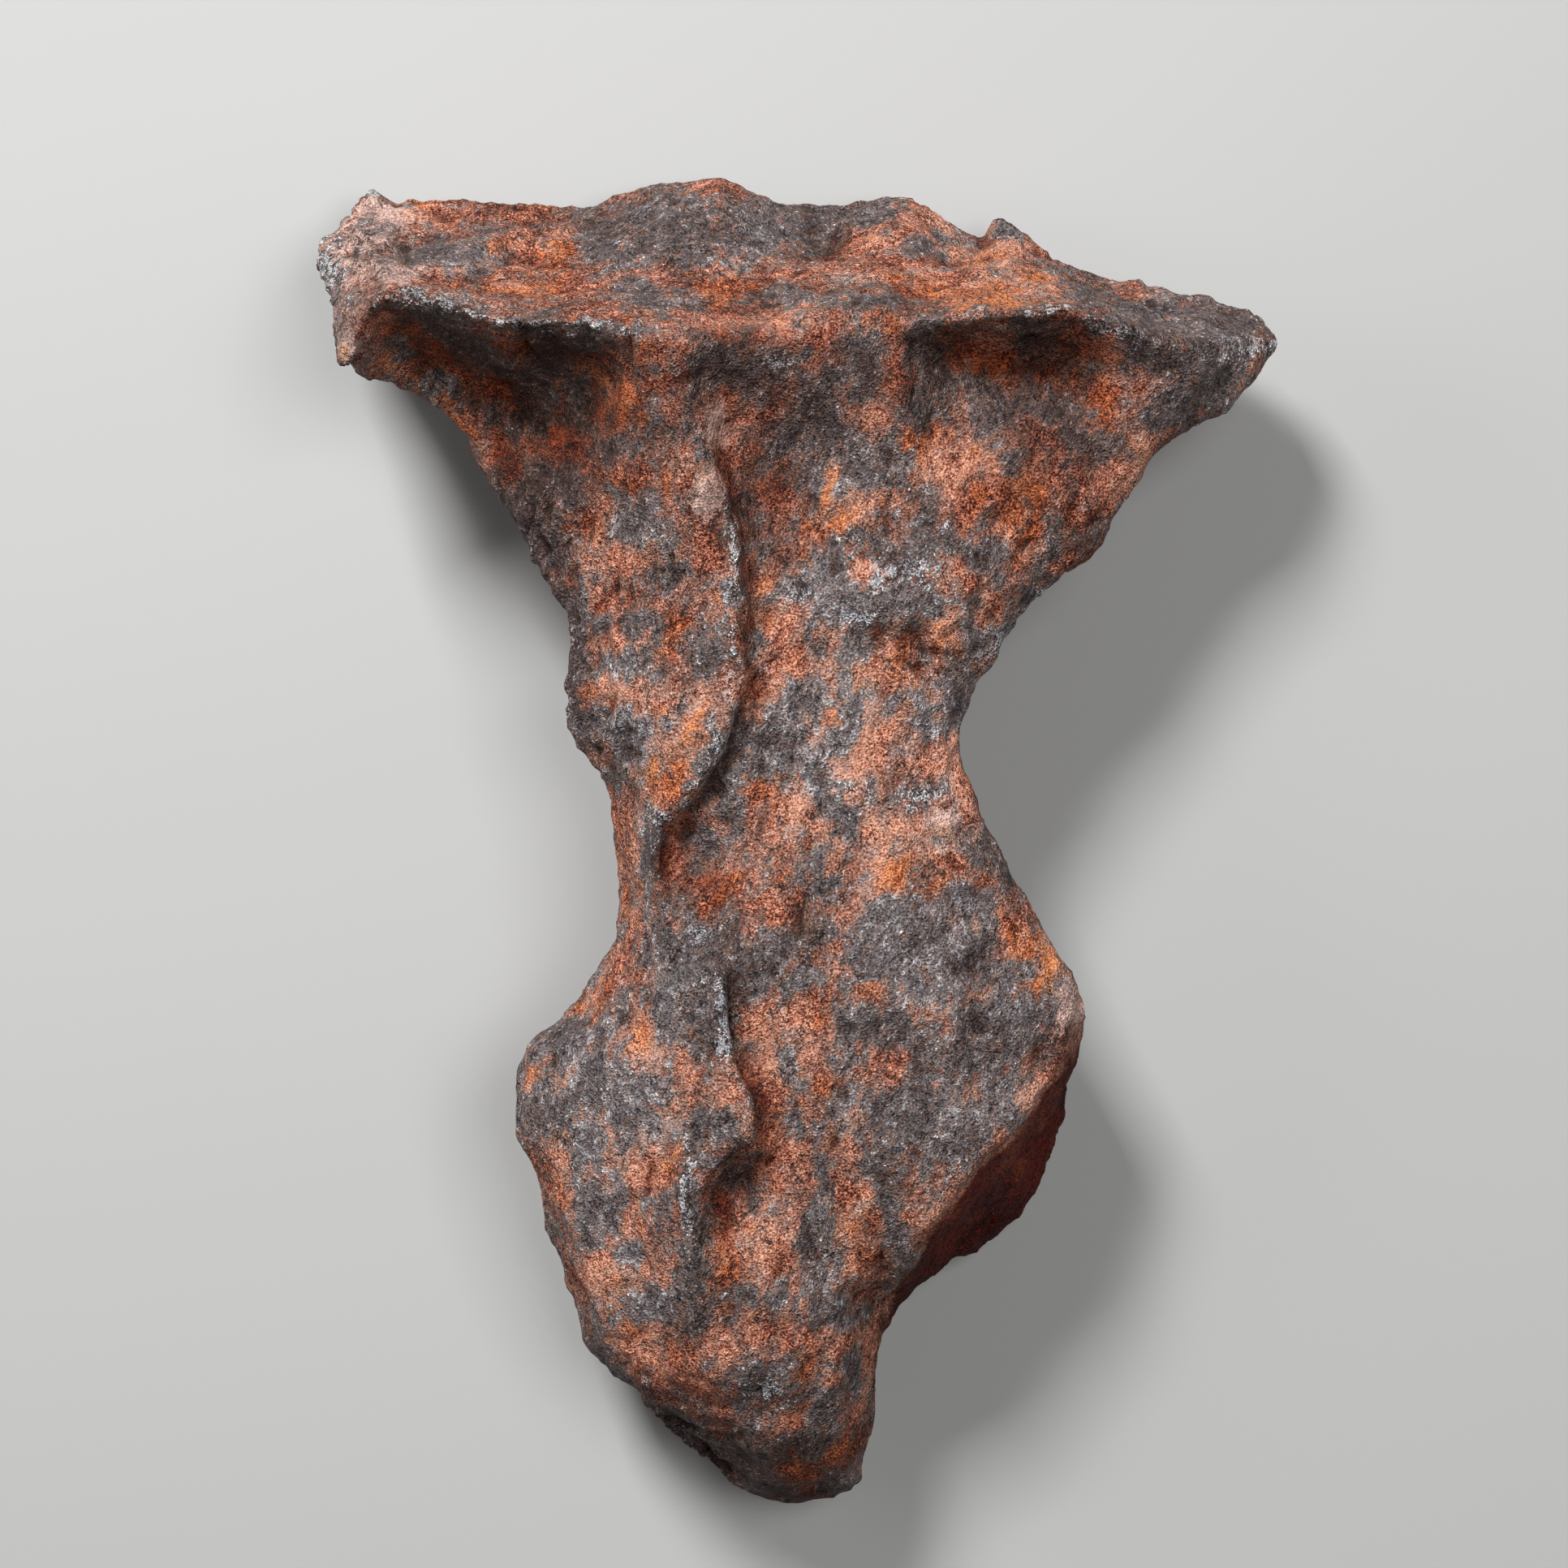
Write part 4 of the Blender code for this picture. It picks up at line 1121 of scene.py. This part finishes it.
def rust_bloom(tones: RustTones) -> Group:
    """Mottled rust with a fine grain.

    Args:
        tones: The rust's colours.

    Returns:
        The group, with output Color.
    """
    inputs = {"Tone": 0.0, "Flake": 0.5, "Grit": 0.5, "Plate": 0.5}
    group = Group("rust bloom", inputs, {"Color": Kind.COLOUR})
    tone = group.weigh(-0.34, Tone=0.22, Flake=0.70, Grit=0.95, Plate=0.10)
    stops = ((0.33, tones.crust), (0.43, tones.brown), (0.54, tones.rust), (0.74, tones.bloom))
    group.give(Color=ramp(group.wiring, tone, stops))
    return group


def slate_iron(tones: IronTones) -> Group:
    """Dull grey iron with brown stains and glittering scales.

    Args:
        tones: The iron's colours.

    Returns:
        The group, with outputs Color and Glint.
    """
    inputs = {"Flake": 0.5, "Grit": 0.5, "Plate": 0.5, "Tone": 0.0, "Shine": 0.0}
    group = Group("slate iron", inputs, {"Color": Kind.COLOUR, "Glint": Kind.VALUE})
    w = group.wiring
    scales = group.weigh(-0.155, Flake=0.75, Grit=0.45, Plate=0.20, Tone=0.10)
    stops = ((0.32, tones.black), (0.45, tones.slate), (0.66, tones.ash), (0.92, tones.glint))
    stain = w.ease(group.weigh(0.0, Flake=1.0, Tone=-0.12, Plate=-0.25), 0.28, 0.56)
    metal = w.mix(w.scaled(stain, 0.58), ramp(w, scales, stops), tones.stain)
    glint = w.ease(group.weigh(0.0, Grit=0.8, Flake=0.6, Plate=0.20, Shine=0.24), 0.99, 1.06)
    group.give(Color=w.mix(glint, metal, tones.glint), Glint=glint)
    return group


def iron_balance() -> Group:
    """Where slate iron shows through the rust, with ragged borders and dark cores.

    Returns:
        The group, with outputs Slate, Umber and Core.
    """
    inputs = {"Balance": 0.0, "Patch": 0.5, "Grit": 0.5, "Plate": 0.5, "Shine": 0.0}
    group = Group("iron balance", inputs, dict.fromkeys(("Slate", "Umber", "Core"), Kind.VALUE))
    w = group.wiring
    level = group.weigh(1.37, Balance=1.0, Patch=-2.7, Grit=-0.12, Plate=0.16, Shine=0.4)
    slate, umber, core = (w.ease(level, *ends) for ends in ((0.05, 0.15), (-0.78, 0.0), (0.42, 0.70)))
    group.give(Slate=slate, Umber=umber, Core=core)
    return group


@dataclass(frozen=True)
class RustedIron:
    """Rust over slate iron, worn to bare metal on the ridges, with painted shade in the hollows."""

    rust: RustTones = RustTones()
    iron: IronTones = IronTones()
    crust: CrustTones = CrustTones()
    blush_and_light_share: float = 0.75
    ochre_share: float = 0.72
    umber_share: float = 0.66
    bare_share: float = 0.84
    core_share: float = 0.60
    # how strongly painted shade and the real cracks darken the colour
    shade_and_crack_share: float = 0.90
    wear_share: float = 0.60
    sheen: float = 0.2
    ragged: tuple[float, float] = (0.75, 1.25)
    roughness: float = 0.86
    bare_gloss: float = 0.24
    glint_gloss: float = 0.22
    bare_metal: float = 0.18
    glint_metal: float = 0.60
    relief: Relief = Relief()
    relief_height: float = 1.0 * MM

    def make(self) -> bpy.types.Material:
        """Builds the material.

        Returns:
            The material.
        """
        material = bpy.data.materials.new("rusted iron")
        material.use_nodes = True
        w = Wiring(material.node_tree)
        shader = material.node_tree.nodes["Principled BSDF"]
        shader.inputs["Specular IOR Level"].default_value = self.sheen
        place = surface_place().place_in(w).outputs
        relief = self.relief.make().place_in(
            w, Plain=place["Plain"], Grain=place["Grain"], Torn=w.mark(Mark.TORN)
        ).outputs
        flake, grit, plate = relief["Flake"], relief["Grit"], relief["Plate"]
        # tone: random, plus painted light and painted shade
        tone = w.mark(Mark.TONE_AND_LIGHT)
        # shine: edge wear, plus the silver spots that are partly a painted highlight
        shine = w.math("ADD", w.scaled(w.mark(Mark.WEAR), self.wear_share), w.mark(Mark.SILVER_AND_HIGHLIGHT), clamp=True)
        rust = rust_bloom(self.rust).place_in(w, Tone=tone, Flake=flake, Grit=grit, Plate=plate).outputs
        slate = slate_iron(self.iron).place_in(
            w, Flake=flake, Grit=grit, Plate=plate, Tone=tone, Shine=shine
        ).outputs
        balance = iron_balance().place_in(
            w, Balance=w.mark(Mark.BALANCE), Patch=relief["Patch"], Grit=grit, Plate=plate, Shine=shine
        ).outputs

        # pale blush, partly painted light
        blush = w.scaled(self.spread(w, w.mark(Mark.BLUSH_AND_LIGHT), flake), self.blush_and_light_share)
        colour = w.mix(blush, rust["Color"], self.crust.blush)
        ochre = w.scaled(self.spread(w, w.mark(Mark.OCHRE), flake), self.ochre_share)
        colour = w.mix(ochre, colour, self.crust.orange, "MULTIPLY")
        umber_tone = w.mix(0.5, slate["Color"], self.crust.umber)
        colour = w.mix(w.scaled(balance["Umber"], self.umber_share), colour, umber_tone)
        bare = w.scaled(balance["Slate"], self.bare_share)
        colour = w.mix(bare, colour, slate["Color"])
        colour = w.mix(w.scaled(balance["Core"], self.core_share), colour, self.crust.core, "MULTIPLY")
        # painted shade in the hollows, on shaded spots and on the foot's steep side
        colour = self.dim(w, colour)
        # painted fine shade and light: the grain's dips darkened and its peaks lightened
        shade = w.sum((grit, 2.8), (flake, 0.5), (1.0, -0.64))
        colour = w.mix(1.0, colour, shade, "MULTIPLY")
        colour = w.mix(w.scaled(relief["Crack"], self.shade_and_crack_share), colour, self.iron.black)
        w.join(colour, shader.inputs["Base Color"])

        glint = w.math("MULTIPLY", bare, slate["Glint"])
        metal = w.sum((bare, self.bare_metal), (glint, self.glint_metal))
        w.join(metal, shader.inputs["Metallic"])
        dullness = w.sum((bare, -self.bare_gloss), (glint, -self.glint_gloss), (1.0, self.roughness))
        w.join(dullness, shader.inputs["Roughness"])
        bump = w.node("ShaderNodeBump")
        w.join(1.0, bump.inputs["Strength"])
        w.join(self.relief_height, bump.inputs["Distance"])
        w.join(relief["Height"], bump.inputs["Height"])
        w.join(bump.outputs[0], shader.inputs["Normal"])
        return material

    def spread(self, w: Wiring, spot: object, flake: object) -> Socket:
        """A mask of a drawn spot, its border made ragged by the flakes' random swells."""
        return w.ease(w.sum((spot, 1.0), (flake, 1.0)), *self.ragged)

    def dim(self, w: Wiring, colour: object) -> Socket:
        """Paints shade: darkens the hollows and shaded spots, and darkens and reddens the foot's steep side
        where the mark passes 1.

        Args:
            w: The material's wiring.
            colour: The colour in full light.

        Returns:
            The dimmed colour.
        """
        deep = w.mark(Mark.PAINTED_SHADE)
        hollow = w.scaled(w.math("MINIMUM", deep, 1.0), self.shade_and_crack_share)
        steep = w.scaled(w.ease(deep, 0.9, 1.3), self.shade_and_crack_share)
        return w.mix(steep, w.mix(hollow, colour, self.crust.deep, "MULTIPLY"), self.crust.steep_shade_tint, "MULTIPLY")


@dataclass(frozen=True)
class Lamp:
    """A soft square lamp: where it hangs and its side, in metres, and its watts."""

    name: str
    place: tuple[float, float, float]
    size: float
    watts: float


@dataclass
class Studio:
    """The pale bench, the soft lamps and the camera above."""

    sketch: Sketch
    floor_size: float = 3.0
    floor_colour: Colour = (0.36, 0.36, 0.355)
    floor_roughness: float = 0.9
    lamps: tuple[Lamp, ...] = (
        Lamp("key", (-0.29, 0.58, 0.67), 0.22, 12.0),
        Lamp("front", (0.34, 0.12, 1.06), 0.50, 7.4),
        Lamp("side", (-0.85, 0.14, 0.45), 0.50, 2.2),
    )
    aim: tuple[float, float, float] = (0.0, 0.0, 0.02)
    sky_colour: Colour = (1.0, 0.98, 0.96)
    sky_strength: float = 0.05
    picture_width: float = 209.69
    sensor: float = 36.0

    def build(self) -> None:
        """Makes everything around the lump."""
        self.lay_floor()
        for lamp in self.lamps:
            self.hang(lamp)
        self.set_sky()
        self.set_camera()

    def lay_floor(self) -> None:
        """Lays the plain pale floor at the lump's lowest point."""
        half = self.floor_size / 2
        mesh = bpy.data.meshes.new("pale_floor")
        corners = [(-half, -half, 0), (half, -half, 0), (half, half, 0), (-half, half, 0)]
        mesh.from_pydata(corners, [], [(0, 1, 2, 3)])
        floor = bpy.data.objects.new("pale_floor", mesh)
        bpy.context.scene.collection.objects.link(floor)
        material = bpy.data.materials.new("pale floor")
        material.use_nodes = True
        shader = material.node_tree.nodes["Principled BSDF"]
        shader.inputs["Base Color"].default_value = (*self.floor_colour, 1.0)
        shader.inputs["Roughness"].default_value = self.floor_roughness
        mesh.materials.append(material)

    def hang(self, lamp: Lamp) -> None:
        """Hangs a lamp that shines on the lump.

        Args:
            lamp: What to hang and where.
        """
        light = bpy.data.lights.new(lamp.name, "AREA")
        light.size = lamp.size
        light.energy = lamp.watts
        seat = bpy.data.objects.new(lamp.name, light)
        seat.location = lamp.place
        way = Vector(self.aim) - Vector(lamp.place)
        seat.rotation_euler = way.to_track_quat("-Z", "Y").to_euler()
        bpy.context.scene.collection.objects.link(seat)

    def set_sky(self) -> None:
        """Fills the room with dim, even light."""
        world = bpy.data.worlds.new("room")
        world.use_nodes = True
        back = world.node_tree.nodes["Background"]
        back.inputs["Color"].default_value = (*self.sky_colour, 1.0)
        back.inputs["Strength"].default_value = self.sky_strength
        bpy.context.scene.world = world

    def set_camera(self) -> None:
        """Sets the camera straight above, where the sketch is seen from."""
        camera = bpy.data.cameras.new("camera")
        camera.sensor_width = self.sensor
        camera.lens = self.sensor * self.sketch.reach / self.picture_width
        camera.clip_start = 0.01
        camera.clip_end = 10.0
        seat = bpy.data.objects.new("camera", camera)
        seat.location = self.sketch.eye()
        bpy.context.scene.collection.objects.link(seat)
        bpy.context.scene.camera = seat


def main() -> None:
    """Builds the lump and its studio."""
    logging.basicConfig(level=logging.INFO, format="%(message)s")
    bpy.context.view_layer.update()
    sketch = Sketch()
    lump = Meteorite(sketch=sketch).build()
    LOG.info("%s: %d points", lump.name, len(lump.data.vertices))
    lump.data.materials.append(RustedIron().make())
    LOG.info("finish: %s", lump.data.materials[0].name)
    Studio(sketch).build()
    LOG.info("studio: floor, lamps and camera")
    scene = bpy.context.scene
    scene.view_settings.view_transform = "Standard"


if __name__ == "__main__":
    main()
